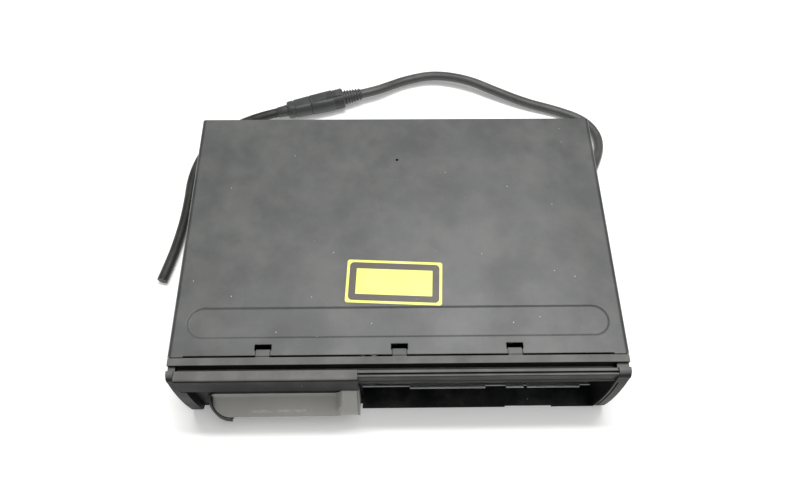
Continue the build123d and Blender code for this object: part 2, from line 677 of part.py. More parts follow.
def front_bezel():
    """The moulded front: two cheeks, a top beam, a fixed left panel and a sill, with snap tabs."""
    cheek = bezel_cheek()
    body = cheek - rim_line() + mirror(cheek, Plane.YZ)
    band = (RIM_EDGE, -SLOT_RIGHT)
    body -= block(band, (back(-2 * BEZEL_REACH), back(-STRIP_BACK)), (SLOT_TOP, HEIGHT))
    body -= block(band, (back(-2 * BEZEL_REACH), back(-BEAM_FACE)), (DOOR_LEDGE - DOOR_GAP, HEIGHT))
    wide = SLOT_RIGHT + WELD
    body += along_x(beam_outline(), (RIM_EDGE - WELD, wide))
    body += block((-wide, SLOT_LEFT), (back(-PANEL_FRONT), back(-PANEL_BACK)), (0, SLOT_TOP + WELD))
    body += block((-wide, SLOT_LEFT), (back(-SILL_SHORT_REACH), back(-STRIP_BACK)), (0, SILL_TOP))
    body += block((SLOT_LEFT - WELD, wide), (back(-SILL_REACH), back(-STRIP_BACK)), (0, SILL_TOP))
    notch_start, notch_end, notch_depth = SILL_NOTCH
    body -= block((SLOT_LEFT + notch_start, SLOT_LEFT + notch_end),
                  (back(-SILL_REACH - 1), back(-SILL_REACH + notch_depth)), (-1, SILL_TOP + 1))
    ear_room = block((HALF - COVER_EAR_WIDTH - PART_GAP, HALF + 1), (EAR_FRONT - PART_GAP, back(1)),
                     (HEIGHT - COVER_SHEET - SNAP_GAP, HEIGHT + 1))
    body -= ear_room + mirror(ear_room, Plane.YZ)
    window_front = SNAP_SETBACK - SNAP_WINDOW[1] / 2
    under = HEIGHT - COVER_SHEET - SNAP_GAP
    for x in SNAP_X:
        span = (x - SNAP_TONGUE / 2, x + SNAP_TONGUE / 2)
        root = back(-STRIP_BACK - WELD)
        body += block(span, (root, back(window_front + SNAP_HOOK)), (under - TAB_THICK, under))
        body += block(span, (root, back(window_front)), (under, HEIGHT - SNAP_GAP))
    return body


def door_panel():
    """The sliding door: a hooked top, a front face down to a ledge, and a set-back skirt."""
    skirt_back = DOOR_SKIRT_FRONT - DOOR_SKIRT_SHEET
    under = DOOR_TOP - DOOR_SHEET
    tongue_front = RAIL_GROOVE_FRONT - (RAIL_GROOVE_FRONT - RAIL_GROOVE_BACK - TONGUE_THICK) / 2
    tongue_back = tongue_front - TONGUE_THICK
    inside = DOOR_FACE - DOOR_SHEET
    points = (
        (-DOOR_BACK, DOOR_TOP), (-DOOR_FACE, DOOR_TOP), (-DOOR_FACE, DOOR_LEDGE),
        (-DOOR_SKIRT_FRONT, DOOR_LEDGE), (-DOOR_SKIRT_FRONT, DOOR_BOTTOM), (-skirt_back, DOOR_BOTTOM),
        (-skirt_back, DOOR_LEDGE + DOOR_SHEET), (-inside, DOOR_LEDGE + DOOR_SHEET), (-inside, under),
        (-tongue_front, under), (-tongue_front, under - TONGUE_DEPTH), (-tongue_back, under - TONGUE_DEPTH),
        (-tongue_back, under), (-DOOR_BACK, under),
    )
    outline = Polyline(*[(back(y), z) for y, z in points], close=True)
    body = along_x(outline, (DOOR_LEFT, DOOR_RIGHT))
    front = body.edges().filter_by(Axis.X).group_by(Axis.Y)[0].group_by(Axis.Z)
    body = fillet(front[-1], DOOR_CORNER_R)
    front = body.edges().filter_by(Axis.X).group_by(Axis.Y)[0].group_by(Axis.Z)
    body = fillet(front[0], DOOR_SHEET / 2)
    body -= block((DOOR_LEFT - 1, SKIRT_LEFT), (back(-inside), back(0)), (0, SLOT_TOP))
    return body + grip_skirt()


def grip_plan():
    """The grip's plan, with one rounded corner at its left front."""
    left, front, behind = DOOR_LEFT + GRIP_LEFT_SETBACK, back(-GRIP_LIP_REACH), back(-DOOR_SKIRT_FRONT)
    arc, start, tip = corner_arc(left, front, GRIP_CORNER_R, left + GRIP_CORNER_R)
    return (Line((left, behind), start) + arc + Line(tip, (DOOR_RIGHT, front))
            + Line((DOOR_RIGHT, front), (DOOR_RIGHT, behind)) + Line((DOOR_RIGHT, behind), (left, behind)))


def grip_section():
    """The grip's section in (y, z): a hollowed shelf that runs out from the door to the lip."""
    behind = back(-DOOR_SKIRT_FRONT)
    lip = back(-GRIP_LIP_REACH)
    top = (behind, GRIP_SHELF_BACK)
    bend = (back(-GRIP_BEND[0]), GRIP_BEND[1])
    lip_top = (lip + GRIP_LIP_ROUND, GRIP_LIP_HEIGHT + 2 * GRIP_LIP_ROUND)
    lip_low = (lip, GRIP_LIP_HEIGHT)
    under = (back(-GRIP_BEND[0]), GRIP_BEND[1] - 1.5 * GRIP_SHELL)
    foot = (behind, GRIP_FOOT)
    return (Spline(top, bend, lip_top, tangents=((-1, -0.9), (-1, -0.05))) + Line(lip_top, lip_low)
            + Spline(lip_low, under, foot, tangents=((1, -0.05), (0.6, -1))) + Line(foot, top))


def corner_arc(left, front, radius, end_x):
    """An arc that rounds a left front corner, from its side to where it reaches an X, and its two ends."""
    middle = (left + radius, front + radius)

    def at(x):
        return (x, middle[1] - math.sqrt(radius ** 2 - (x - middle[0]) ** 2))

    start, end = (left, front + radius), at(end_x)
    half_x = left + radius * (1 - math.cos(math.atan2(middle[1] - end[1], middle[0] - end_x) / 2))
    return ThreePointArc(start, at(half_x), end), start, end


def grip_skirt():
    """The dark rim round the grip's left end, a curved wall that follows its corner."""
    left = DOOR_LEFT + GRIP_LEFT_SETBACK - DOOR_GAP
    end_x = left + GRIP_SKIRT_WIDTH
    behind = back(-DOOR_SKIRT_FRONT + DOOR_SKIRT_SHEET / 2)
    inner, inner_start, inner_end = corner_arc(left, back(-GRIP_LIP_REACH - DOOR_GAP), GRIP_CORNER_R, end_x)
    wide = left - GRIP_SKIRT_SHEET
    wide_r = GRIP_CORNER_R + GRIP_SKIRT_SHEET
    outer, outer_start, outer_end = corner_arc(wide, back(-GRIP_REACH), wide_r, end_x)
    outline = (Line((wide, behind), outer_start) + outer + Line(outer_end, inner_end) + inner
               + Line(inner_start, (left, behind)) + Line((left, behind), (wide, behind)))
    wall = upright(outline, GRIP_SKIRT_Z)
    front = back(-GRIP_REACH - 1)
    slope = Polyline((behind, GRIP_SKIRT_Z[1]), (front, GRIP_SKIRT_LIP), (front, HEIGHT), (behind, HEIGHT),
                     close=True)
    return wall - along_x(slope, (wide - 1, end_x + 1))


def door_grip():
    """The scooped finger grip, with a raised wall at its right end."""
    span = (DOOR_LEFT + GRIP_LEFT_SETBACK, DOOR_RIGHT)
    shelf = along_x(grip_section(), span) & upright(grip_plan(), (0, HEIGHT))
    behind = back(-DOOR_SKIRT_FRONT)
    wall_points = ((behind, DOOR_LEDGE - PART_GAP), (back(-DOOR_FACE), DOOR_LEDGE - PART_GAP),
                   (back(-GRIP_LIP_REACH + 1), GRIP_LIP_HEIGHT + GRIP_WALL_RISE),
                   (back(-GRIP_LIP_REACH + 1), GRIP_LIP_HEIGHT),
                   (back(-GRIP_BEND[0]), GRIP_BEND[1] - GRIP_SHELL), (behind, GRIP_FOOT))
    wall = along_x(Polyline(*wall_points, close=True), (DOOR_RIGHT - GRIP_WALL_WIDTH, DOOR_RIGHT))
    return shelf + wall


def inner_door():
    """The flat hidden leaf that follows the outer door at half its travel."""
    y = back(-(INNER_TRACK_BACK + INNER_TRACK_FRONT) / 2)
    x = (INNER_DOOR_RIGHT - INNER_DOOR_WIDTH, INNER_DOOR_RIGHT)
    return block(x, (y - INNER_DOOR_SHEET / 2, y + INNER_DOOR_SHEET / 2),
                 (DOOR_BOTTOM, HEIGHT - INNER_DOOR_DROP))


def label_plate():
    """The label's sheet, flush on the cover, turned a little."""
    shape = RectangleRounded(LABEL_SIZE[0], LABEL_SIZE[1], LABEL_CORNER_R)
    place = Pos(LABEL_X, back(LABEL_SETBACK), HEIGHT) * Rot(0, 0, LABEL_TURN_DEG)
    return place * extrude(shape, LABEL_THICK)


def tray_floor(index):
    """The height of a tray's underside."""
    return TRAY_FLOOR_Z + index * TRAY_PITCH


def disc_tray(index):
    """A disc tray: a thin frame with a disc recess, a hub opening and a pull tab."""
    z = tray_floor(index)
    y = (back(TRAY_SETBACK), back(TRAY_SETBACK + TRAY_SIZE[1]))
    plate = block(TRAY_X, y, (z, z + TRAY_THICK))
    plate = fillet(plate.edges().filter_by(Axis.Z), TRAY_CORNER_R)
    middle = (DISC_X, back(DISC_SETBACK))
    recess_floor = z + TRAY_THICK - TRAY_DISC_DEPTH
    plate -= rod(DISC_R + TRAY_DISC_CLEARANCE, (*middle, recess_floor), (*middle, z + TRAY_THICK + 1))
    plate -= rod(TRAY_HUB_R, (*middle, z - 1), (*middle, z + TRAY_THICK))
    plate -= block((DISC_X - TRAY_HUB_R, DISC_X + TRAY_HUB_R), (y[0] + TRAY_RIM, middle[1]),
                   (z - 1, z + TRAY_THICK))
    tab_y = y[0] + TRAY_TAB_OFFSET
    return plate + block((TRAY_X[0] - TRAY_TAB[0], TRAY_X[0] + WELD), (tab_y, tab_y + TRAY_TAB[1]),
                         (z, z + TRAY_THICK))


def magazine_case():
    """The magazine's case, open on its left, with shelf ribs between the trays."""
    x, y = MAGAZINE_X, (back(MAGAZINE_SETBACK), back(MAGAZINE_BACK))
    top = MAGAZINE_TOP - MAGAZINE_LID
    case = block(x, y, (MAGAZINE_FLOOR_Z, MAGAZINE_FLOOR_Z + MAGAZINE_FLOOR))
    case += block(x, (y[0], y[0] + MAGAZINE_WALL), (MAGAZINE_FLOOR_Z, top))
    case += block(x, (y[1] - MAGAZINE_WALL, y[1]), (MAGAZINE_FLOOR_Z, top))
    case += block((x[1] - MAGAZINE_WALL, x[1]), y, (MAGAZINE_FLOOR_Z, top))
    front_rib = (y[0] + MAGAZINE_WALL / 2, y[0] + MAGAZINE_WALL + TRAY_END_GAP + SHELF_REACH)
    back_rib = (back(TRAY_SETBACK + TRAY_SIZE[1]) - SHELF_REACH, y[1] - MAGAZINE_WALL / 2)
    for index in range(TRAY_COUNT - 1):
        z = tray_floor(index) + TRAY_THICK + SHELF_GAP
        for rib in (front_rib, back_rib):
            case += block((x[0] + SHELF_SETBACK, x[1] - MAGAZINE_WALL / 2), rib, (z, z + SHELF_THICK))
    radius, depth = MAGAZINE_FINGER
    middle = ((x[0] + x[1]) / 2, y[0] - radius + depth)
    return case - rod(radius, (*middle, MAGAZINE_FLOOR_Z - 1), (*middle, top + 1))


def magazine_cover():
    """The magazine's lid, with an arrow-shaped mark pressed in it."""
    x, y = MAGAZINE_X, (back(MAGAZINE_SETBACK), back(MAGAZINE_BACK))
    lid = block(x, y, (MAGAZINE_TOP - MAGAZINE_LID, MAGAZINE_TOP))
    tip_y = y[1] - ARROW_SETBACK
    half, base_y = ARROW_SIZE[0] / 2, tip_y - ARROW_SIZE[1]
    arrow = Polyline((DISC_X, tip_y), (DISC_X + half, base_y), (DISC_X - half, base_y), close=True)
    lid -= upright(arrow, (MAGAZINE_TOP - ARROW_DEPTH, MAGAZINE_TOP + 1))
    return lid


def loader_frame():
    """The frame that guides the magazine: floor, right and rear walls, a front portal and a lever shelf."""
    floor_top = LOADER_Z + LOADER_SHEET
    left = MAGAZINE_LEFT - PORTAL_CLEARANCE
    right = (LOADER_RIGHT, LOADER_RIGHT + LOADER_SHEET)
    y = (back(0), back(LOADER_BACK + LOADER_SHEET))
    frame = block((left - LOADER_SHEET, right[1]), y, (LOADER_Z, floor_top))
    frame += block(right, y, (LOADER_Z, LOADER_TOP))
    frame += block((left, right[1]), (back(LOADER_BACK), y[1]), (LOADER_Z, LOADER_TOP))
    frame += block((left - LOADER_SHEET, left), (back(0), y[1]), (LOADER_Z, floor_top + GUIDE_HEIGHT))
    portal = (back(PORTAL_SETBACK), back(PORTAL_SETBACK + LOADER_SHEET))
    shelf_z = (SHELF_BRACKET_Z, SHELF_BRACKET_Z + SHELF_BRACKET_THICK)
    frame += block((SLOT_LEFT, left), portal, (LOADER_Z, LOADER_TOP))
    frame += block((SLOT_LEFT, left), portal, (LOADER_Z, shelf_z[1]))
    frame += block((SLOT_LEFT, right[1]), portal, (MAGAZINE_TOP + PORTAL_CLEARANCE, LOADER_TOP))
    frame += block((LEVER_X - LEVER_SHELF[0], left - LOADER_SHEET),
                   (portal[0], back(LEVER_SETBACK + LEVER_SHELF[1])), shelf_z)
    pivot = (LEVER_X, back(LEVER_SETBACK))
    frame += rod(LEVER_PIN_R, (*pivot, SHELF_BRACKET_Z), (*pivot, LEVER_Z + LEVER_THICK + LEVER_PIN_RISE))
    half = STEM_SIDE / 2 + STEM_CLEARANCE
    frame -= block((BUTTON_X - half, BUTTON_X + half), (portal[0] - 1, portal[1] + 1),
                   (BUTTON_Z - half, BUTTON_Z + half))
    for start, end in LIP_SPANS:
        span = (MAGAZINE_LEFT + start, MAGAZINE_LEFT + end)
        frame += block(span, (back(-LIP_REACH + LIP_R), back(1)), (LOADER_Z, floor_top))
        y_lip, z_lip = back(-LIP_REACH + LIP_R), floor_top - LIP_R
        frame += rod(LIP_R, (span[0], y_lip, z_lip), (span[1], y_lip, z_lip))
    for x, setback in MOUNT_XY:
        frame -= rod(DAMPER_BORE_R, (x, back(setback), LOADER_Z - 1), (x, back(setback), floor_top + 1))
    return frame


def dampers():
    """Four rubber rings that the loader frame floats on."""
    rings = [ring(DAMPER_R, DAMPER_BORE_R, (x, back(s), CHASSIS_SHEET), (x, back(s), LOADER_Z))
             for x, s in MOUNT_XY]
    return Compound(children=rings)


def support_springs():
    """Four short spring sleeves beside the dampers."""
    sleeves = [ring(SPRING_OUTER_R, SPRING_INNER_R, (x, back(s + SPRING_OFFSET), CHASSIS_SHEET),
                    (x, back(s + SPRING_OFFSET), LOADER_Z)) for x, s in MOUNT_XY]
    return Compound(children=sleeves)


def eject_button():
    """The eject button: a cap in the slot's corner, on a square stem."""
    half_x, half_z, half_stem = BUTTON_SIZE[0] / 2, BUTTON_SIZE[2] / 2, STEM_SIDE / 2
    cap_back = -BUTTON_FACE + BUTTON_SIZE[1]
    cap = block((BUTTON_X - half_x, BUTTON_X + half_x), (back(-BUTTON_FACE), back(cap_back)),
                (BUTTON_Z - half_z, BUTTON_Z + half_z))
    cap = fillet(cap.faces().sort_by(Axis.Y)[0].edges(), BUTTON_EDGE_R)
    stem = block((BUTTON_X - half_stem, BUTTON_X + half_stem), (back(cap_back - WELD), back(STEM_END)),
                 (BUTTON_Z - half_stem, BUTTON_Z + half_stem))
    return cap + stem


def eject_spring():
    """The return spring round the button's stem, as a sleeve."""
    inner = STEM_SIDE * 0.75
    start = (BUTTON_X, back(-BUTTON_FACE + BUTTON_SIZE[1]), BUTTON_Z)
    end = (BUTTON_X, back(PORTAL_SETBACK), BUTTON_Z)
    return ring(inner + SPRING_WALL, inner, start, end)


def eject_lever():
    """The bell crank that the button turns to free the magazine."""
    px, py = LEVER_X, back(LEVER_SETBACK)
    z = (LEVER_Z, LEVER_Z + LEVER_THICK)
    start_y = back(STEM_END) + LEVER_GAP
    end_y = py + LEVER_ARM
    lever = rod(LEVER_WIDTH, (px, py, z[0]), (px, py, z[1]))
    lever += block((px, px + LEVER_REACH), (start_y, start_y + LEVER_WIDTH), z)
    lever += block((px - LEVER_WIDTH / 2, px + LEVER_WIDTH / 2), (py, end_y), z)
    lever += block((px, MAGAZINE_LEFT - PORTAL_CLEARANCE), (end_y - LEVER_WIDTH, end_y), z)
    return lever - rod(LEVER_PIN_R + RUNNING, (px, py, z[0] - 1), (px, py, z[1] + 1))


def lift_base():
    """The drive station's plate, with pillars and a bracket that carries both motors."""
    plate_top = STATION_PLATE_Z + STATION_PLATE
    bracket_top = BRACKET_Z + BRACKET_THICK
    y = (STATION_Y - STATION_DEPTH[0], STATION_Y + STATION_DEPTH[1])
    base = block((LIFT_POST_X - STATION_MARGIN, CLAMP_POST_X + POST_R + POST_MARGIN), y,
                 (CHASSIS_SHEET, plate_top))
    middle = (LIFT_MOTOR_X + CLAMP_MOTOR_X) / 2
    for pillar_y in (STATION_Y - PILLAR_OFFSET, STATION_Y + PILLAR_OFFSET):
        base += rod(POST_R, (middle, pillar_y, plate_top - WELD), (middle, pillar_y, BRACKET_Z + WELD))
    base += block((LIFT_MOTOR_X - MOTOR_R, CLAMP_MOTOR_X + MOTOR_R),
                  (STATION_Y - BRACKET_HALF, STATION_Y + BRACKET_HALF), (BRACKET_Z, bracket_top))
    for x in (LIFT_MOTOR_X, CLAMP_MOTOR_X):
        base -= rod(MOTOR_SHAFT_R + RUNNING, (x, STATION_Y, CHASSIS_SHEET), (x, STATION_Y, bracket_top + 1))
    for x in (LIFT_SCREW_X, CLAMP_SCREW_X):
        base -= rod(SCREW_R + RUNNING, (x, STATION_Y, CHASSIS_SHEET - 1), (x, STATION_Y, plate_top + 1))
    for x in (LIFT_POST_X, CLAMP_POST_X):
        base -= rod(POST_R, (x, STATION_Y, CHASSIS_SHEET - 1), (x, STATION_Y, plate_top + 1))
    return base


def guide_posts():
    """The two upright posts that the deck and the clamp bridge run on."""
    posts = [rod(POST_R, (x, STATION_Y, CHASSIS_SHEET), (x, STATION_Y, POST_TOP))
             for x in (LIFT_POST_X, CLAMP_POST_X)]
    return Compound(children=posts)


def drive_screw(x):
    """An upright drive screw, from the station's plate to under the cover."""
    return rod(SCREW_R, (x, STATION_Y, CHASSIS_SHEET + GEAR_FLOAT), (x, STATION_Y, POST_TOP))


def screw_gear(x, pinion_side):
    """The gear on a drive screw, with a gap between teeth on the pinion's side."""
    phase = (0 if pinion_side > 0 else 180) + 180 / GEAR_TEETH
    return Pos(x, STATION_Y, GEAR_Z) * gear(GEAR_TEETH, SCREW_R, phase)


def motor_pinion(x, gear_side):
    """The pinion on a motor's shaft, with a tooth pointing at its gear."""
    phase = 0 if gear_side > 0 else 180
    return Pos(x, STATION_Y, GEAR_Z) * gear(PINION_TEETH, MOTOR_SHAFT_R + RUNNING / 2, phase)


def station_motor(x):
    """A small upright motor on the bracket, without its shaft, which turns with the pinion."""
    z = BRACKET_Z + BRACKET_THICK
    can = rod(MOTOR_R, (x, STATION_Y, z), (x, STATION_Y, z + MOTOR_HEIGHT))
    can = chamfer(can.edges().group_by(Axis.Z)[-1], MOTOR_EDGE)
    top = z + MOTOR_HEIGHT
    return can + rod(MOTOR_BUSH[0], (x, STATION_Y, top - WELD), (x, STATION_Y, top + MOTOR_BUSH[1]))


def rod_xs():
    """The two rods' X, either side of the spindle."""
    return [SPINDLE_X + side * ROD_OFFSET for side in (-1, 1)]


def play_deck():
    """The deck plate with its rear tongue, rod holders and openings for motor and pickup."""
    z = (DECK_Z, DECK_Z + DECK_SHEET)
    through = (DECK_Z - 1, DECK_Z + DECK_SHEET + 1)
    plate = block((DECK_LEFT, DECK_RIGHT), (back(WINDOW_FRONT - DECK_RIM), back(DECK_BACK_SETBACK)), z)
    deck = fillet(plate.edges().filter_by(Axis.Z), DECK_CORNER_R)
    deck += block((LIFT_POST_X - BOSS_R, LIFT_SCREW_X + BOSS_R),
                  (back(DECK_BACK_SETBACK - WELD), back(STATION_BACK_SETBACK)), z)
    for x in (LIFT_POST_X, LIFT_SCREW_X):
        deck += rod(BOSS_R, (x, STATION_Y, DECK_Z), (x, STATION_Y, DECK_Z + BOSS_HEIGHT))
    deck -= rod(POST_R + RUNNING, (LIFT_POST_X, STATION_Y, 0), (LIFT_POST_X, STATION_Y, HEIGHT))
    deck -= rod(SCREW_R + RUNNING, (LIFT_SCREW_X, STATION_Y, 0), (LIFT_SCREW_X, STATION_Y, HEIGHT))
    spindle = (SPINDLE_X, back(DISC_SETBACK))
    deck -= rod(SHAFT_HOLE_R, (*spindle, through[0]), (*spindle, through[1]))
    half = ROD_OFFSET - ROD_HOLDER[0] - PICKUP_END_GAP
    deck -= block((SPINDLE_X - half, SPINDLE_X + half), (back(WINDOW_FRONT), back(WINDOW_BACK)), through)
    half = SLED_MOTOR_R + PART_GAP
    sled_back = WINDOW_BACK + SLED_MOTOR_SETBACK + SLED_MOTOR_LENGTH
    deck -= block((SLED_X - half, SLED_X + half), (back(WINDOW_FRONT), back(sled_back)), through)
    wide, deep, drop = ROD_HOLDER
    for x in rod_xs():
        for setback in (WINDOW_FRONT - deep + JOIN / 2, WINDOW_BACK + deep - JOIN / 2):
            deck += block((x - wide, x + wide), (back(setback - deep), back(setback + deep)),
                          (ROD_Z - drop, DECK_Z + JOIN))
        deck -= rod(ROD_R, *rod_ends(x))
    return deck


def rod_ends(x):
    """The two ends of a guide rod, in the middle of its holders."""
    deep = ROD_HOLDER[1] - JOIN / 2
    return (x, back(WINDOW_FRONT - deep), ROD_Z), (x, back(WINDOW_BACK + deep), ROD_Z)


def guide_rods():
    """The two rods that the pickup runs along."""
    return Compound(children=[rod(ROD_R, *rod_ends(x)) for x in rod_xs()])


def spindle_motor():
    """The flat motor under the deck that turns the disc."""
    x, y = SPINDLE_X, back(DISC_SETBACK)
    return rod(SPINDLE_MOTOR_R, (x, y, CHASSIS_SHEET + FLOOR_CLEARANCE), (x, y, DECK_Z))


def turntable():
    """The disc table and its hub, on the spindle motor's shaft."""
    x, y = SPINDLE_X, back(DISC_SETBACK)
    under = TURNTABLE_TOP - TURNTABLE_THICK
    body = rod(TURNTABLE_R, (x, y, under), (x, y, TURNTABLE_TOP))
    body += rod(TURNTABLE_HUB_R, (x, y, under), (x, y, TURNTABLE_TOP + TURNTABLE_HUB_RISE))
    body += rod(TURNTABLE_NECK_R, (x, y, DECK_Z + GEAR_FLOAT), (x, y, under + JOIN))
    inset, depth = TURNTABLE_MARK
    mark = block((x + TURNTABLE_HUB_R + inset, x + TURNTABLE_R - inset), (y - inset / 2, y + inset / 2),
                 (TURNTABLE_TOP - depth, TURNTABLE_TOP + 1))
    return body - mark


def optical_pickup():
    """The pickup's body on its two rods, with a follower arm round the sled screw."""
    half_x, half_y = PICKUP_SIZE[0] / 2, PICKUP_SIZE[1] / 2
    z = (ROD_Z - PICKUP_SIZE[2] / 2, ROD_Z + PICKUP_SIZE[2] / 2 - PART_GAP)
    y = back(LENS_SETBACK)
    head_x, head_y, head_rise = PICKUP_HEAD
    arm_x, arm_y, arm_drop, arm_rise = PICKUP_ARM
    body = block((SPINDLE_X - half_x, SPINDLE_X + half_x), (y - half_y, y + half_y), z)
    body += block((SPINDLE_X - head_x, SPINDLE_X + head_x), (y - head_y, y + head_y),
                  (z[1] - JOIN, DECK_Z + head_rise))
    body += block((SPINDLE_X + half_x - 1, SLED_X + arm_x), (y - arm_y, y + arm_y),
                  (ROD_Z - arm_drop, ROD_Z + arm_rise))
    for x in rod_xs():
        body -= rod(ROD_R + RUNNING, (x, y - half_y - 1, ROD_Z), (x, y + half_y + 1, ROD_Z))
    body -= rod(SLED_SCREW_R + RUNNING, (SLED_X, y - half_y, ROD_Z), (SLED_X, y + half_y, ROD_Z))
    return body - rod(LENS_R, (SPINDLE_X, y, DECK_Z), (SPINDLE_X, y, DECK_Z + LENS_RISE + 1))


def pickup_lens():
    """The objective lens, a small clear dome in the pickup."""
    y = back(LENS_SETBACK)
    lens = rod(LENS_R, (SPINDLE_X, y, DECK_Z), (SPINDLE_X, y, DECK_Z + LENS_RISE))
    return fillet(lens.edges().group_by(Axis.Z)[-1], LENS_EDGE_R)


def sled_motor_front():
    """The Y of the sled motor's front face."""
    return back(WINDOW_BACK + SLED_MOTOR_SETBACK)


def sled_screw():
    """The screw that drives the pickup along its rods."""
    return rod(SLED_SCREW_R, (SLED_X, back(SLED_SCREW_FRONT), ROD_Z),
               (SLED_X, sled_motor_front() - SLED_SCREW_TAIL, ROD_Z))


def sled_motor():
    """The stepper motor on the end of the sled screw."""
    start, end = sled_motor_front(), sled_motor_front() + SLED_MOTOR_LENGTH
    z = CHASSIS_SHEET + FLOOR_CLEARANCE + SLED_MOTOR_R
    can = rod(SLED_MOTOR_R, (SLED_X, start, z), (SLED_X, end, z))
    return can + block((SLED_X - SLED_FLANGE, SLED_X + SLED_FLANGE), (end - 1, end + 1),
                       (z - SLED_MOTOR_R, DECK_Z))


def clamp_bridge():
    """The arm that lowers the clamper onto the disc, running on a post and a screw."""
    z = (BRIDGE_Z, BRIDGE_Z + BRIDGE_SHEET)
    spindle_y = back(DISC_SETBACK)
    tongue_x = (CLAMP_SCREW_X - BOSS_R, CLAMP_POST_X + BOSS_R)
    station_back = back(STATION_BACK_SETBACK)
    bridge = block(tongue_x, (back(LOADER_BACK + LOADER_SHEET + LOADER_BACK_GAP), station_back), z)
    half = BRIDGE_WIDTH / 2
    arm_right = MAGAZINE_LEFT - PORTAL_CLEARANCE - LOADER_SHEET - PART_GAP
    arm_back = back(DECK_BACK_SETBACK)
    bridge += block((tongue_x[0], arm_right), (arm_back - 1, station_back), z)
    bridge += block((SPINDLE_X - half, arm_right), (arm_back - BRIDGE_WIDTH, arm_back), z)
    bridge += block((SPINDLE_X - half, SPINDLE_X + half), (spindle_y, arm_back - 1), z)
    bridge += rod(half, (SPINDLE_X, spindle_y, z[0]), (SPINDLE_X, spindle_y, z[1]))
    for x in (CLAMP_POST_X, CLAMP_SCREW_X):
        bridge += rod(BOSS_R, (x, STATION_Y, BRIDGE_Z - BRIDGE_BOSS_DROP), (x, STATION_Y, z[1]))
    bridge -= rod(POST_R + RUNNING, (CLAMP_POST_X, STATION_Y, 0), (CLAMP_POST_X, STATION_Y, HEIGHT))
    bridge -= rod(SCREW_R + RUNNING, (CLAMP_SCREW_X, STATION_Y, 0), (CLAMP_SCREW_X, STATION_Y, HEIGHT))
    return bridge - rod(CLAMPER_NECK_R + RUNNING, (SPINDLE_X, spindle_y, 0), (SPINDLE_X, spindle_y, HEIGHT))


def disc_clamper():
    """The magnetic puck that hangs in the bridge and turns with the disc."""
    x, y = SPINDLE_X, back(DISC_SETBACK)
    wider, gap, thick = CLAMPER_CAP
    puck_top, cap = CLAMPER_BOTTOM + CLAMPER_THICK, BRIDGE_Z + BRIDGE_SHEET + gap
    puck = rod(CLAMPER_R, (x, y, CLAMPER_BOTTOM), (x, y, puck_top))
    puck += rod(CLAMPER_NECK_R, (x, y, puck_top - JOIN), (x, y, cap + thick / 2))
    puck += rod(CLAMPER_NECK_R + wider, (x, y, cap), (x, y, cap + thick))
    dimple_top = CLAMPER_BOTTOM + CLAMPER_THICK / 2
    return puck - rod(TURNTABLE_HUB_R - CLAMPER_DIMPLE, (x, y, CLAMPER_BOTTOM - 1), (x, y, dimple_top))


def main_board():
    """The circuit board that lies on the loader frame's walls, over the magazine."""
    y = (back(BOARD_SETBACK[0]), back(BOARD_SETBACK[1]))
    return block((MAGAZINE_LEFT + BOARD_OFFSET, SLOT_RIGHT), y, (LOADER_TOP, LOADER_TOP + BOARD_THICK))


def board_chips():
    """The board's integrated circuits."""
    top = LOADER_TOP + BOARD_THICK
    chips = []
    for offset, setback, wide, deep, tall in CHIP_SPECS:
        x, y = MAGAZINE_LEFT + BOARD_OFFSET + offset, back(setback)
        chip = block((x - wide / 2, x + wide / 2), (y - deep / 2, y + deep / 2), (top, top + tall))
        chips.append(chamfer(chip.edges().group_by(Axis.Z)[-1], CHIP_EDGE))
    return Compound(children=chips)


def board_capacitors():
    """The board's upright capacitors."""
    top = LOADER_TOP + BOARD_THICK
    cans = []
    for offset, setback, radius, tall in CAPACITOR_SPECS:
        x, y = MAGAZINE_LEFT + BOARD_OFFSET + offset, back(setback)
        can = rod(radius, (x, y, top), (x, y, top + tall))
        cans.append(fillet(can.edges().group_by(Axis.Z)[-1], CAPACITOR_EDGE_R))
    return Compound(children=cans)


def screw_group(points):
    """A group of countersunk screws."""
    return Compound(children=[sunk_screw(point, direction) for point, direction in points])


def weld_nuts():
    """The threaded nuts behind the chassis's side holes, which a bracket bolts to."""
    nuts = []
    for side in (-1, 1):
        for setback in MOUNT_SETBACKS:
            y = back(setback)
            start = (side * CHASSIS_INSIDE, y, MOUNT_Z)
            end = (side * (CHASSIS_INSIDE - NUT_THICK), y, MOUNT_Z)
            nuts.append(ring(NUT_OUTER_R, MOUNT_HOLE_R, start, end))
    return Compound(children=nuts)


def angle_dial(side):
    """The dial in a side wall that is set to the mounting angle, with a screwdriver slot."""
    y, z = back(DIAL_SETBACK), DIAL_Z

    def at(x):
        return (side * x, y, z)

    head = CHASSIS_OUTSIDE + DIAL_GAP
    dial = rod(DIAL_HEAD_R, at(head), at(head + DIAL_HEAD_THICK))
    clip = CHASSIS_INSIDE - DIAL_CLIP
    dial += rod(DIAL_SHAFT_R, at(clip), at(head + DIAL_HEAD_THICK / 2))
    dial += rod(DIAL_FLANGE_R, at(clip), at(CHASSIS_INSIDE - DIAL_GAP))
    slot = Box(2 * DIAL_SLOT[2], DIAL_SLOT[0], DIAL_SLOT[1])
    return dial - Pos(*at(head + DIAL_HEAD_THICK)) * slot


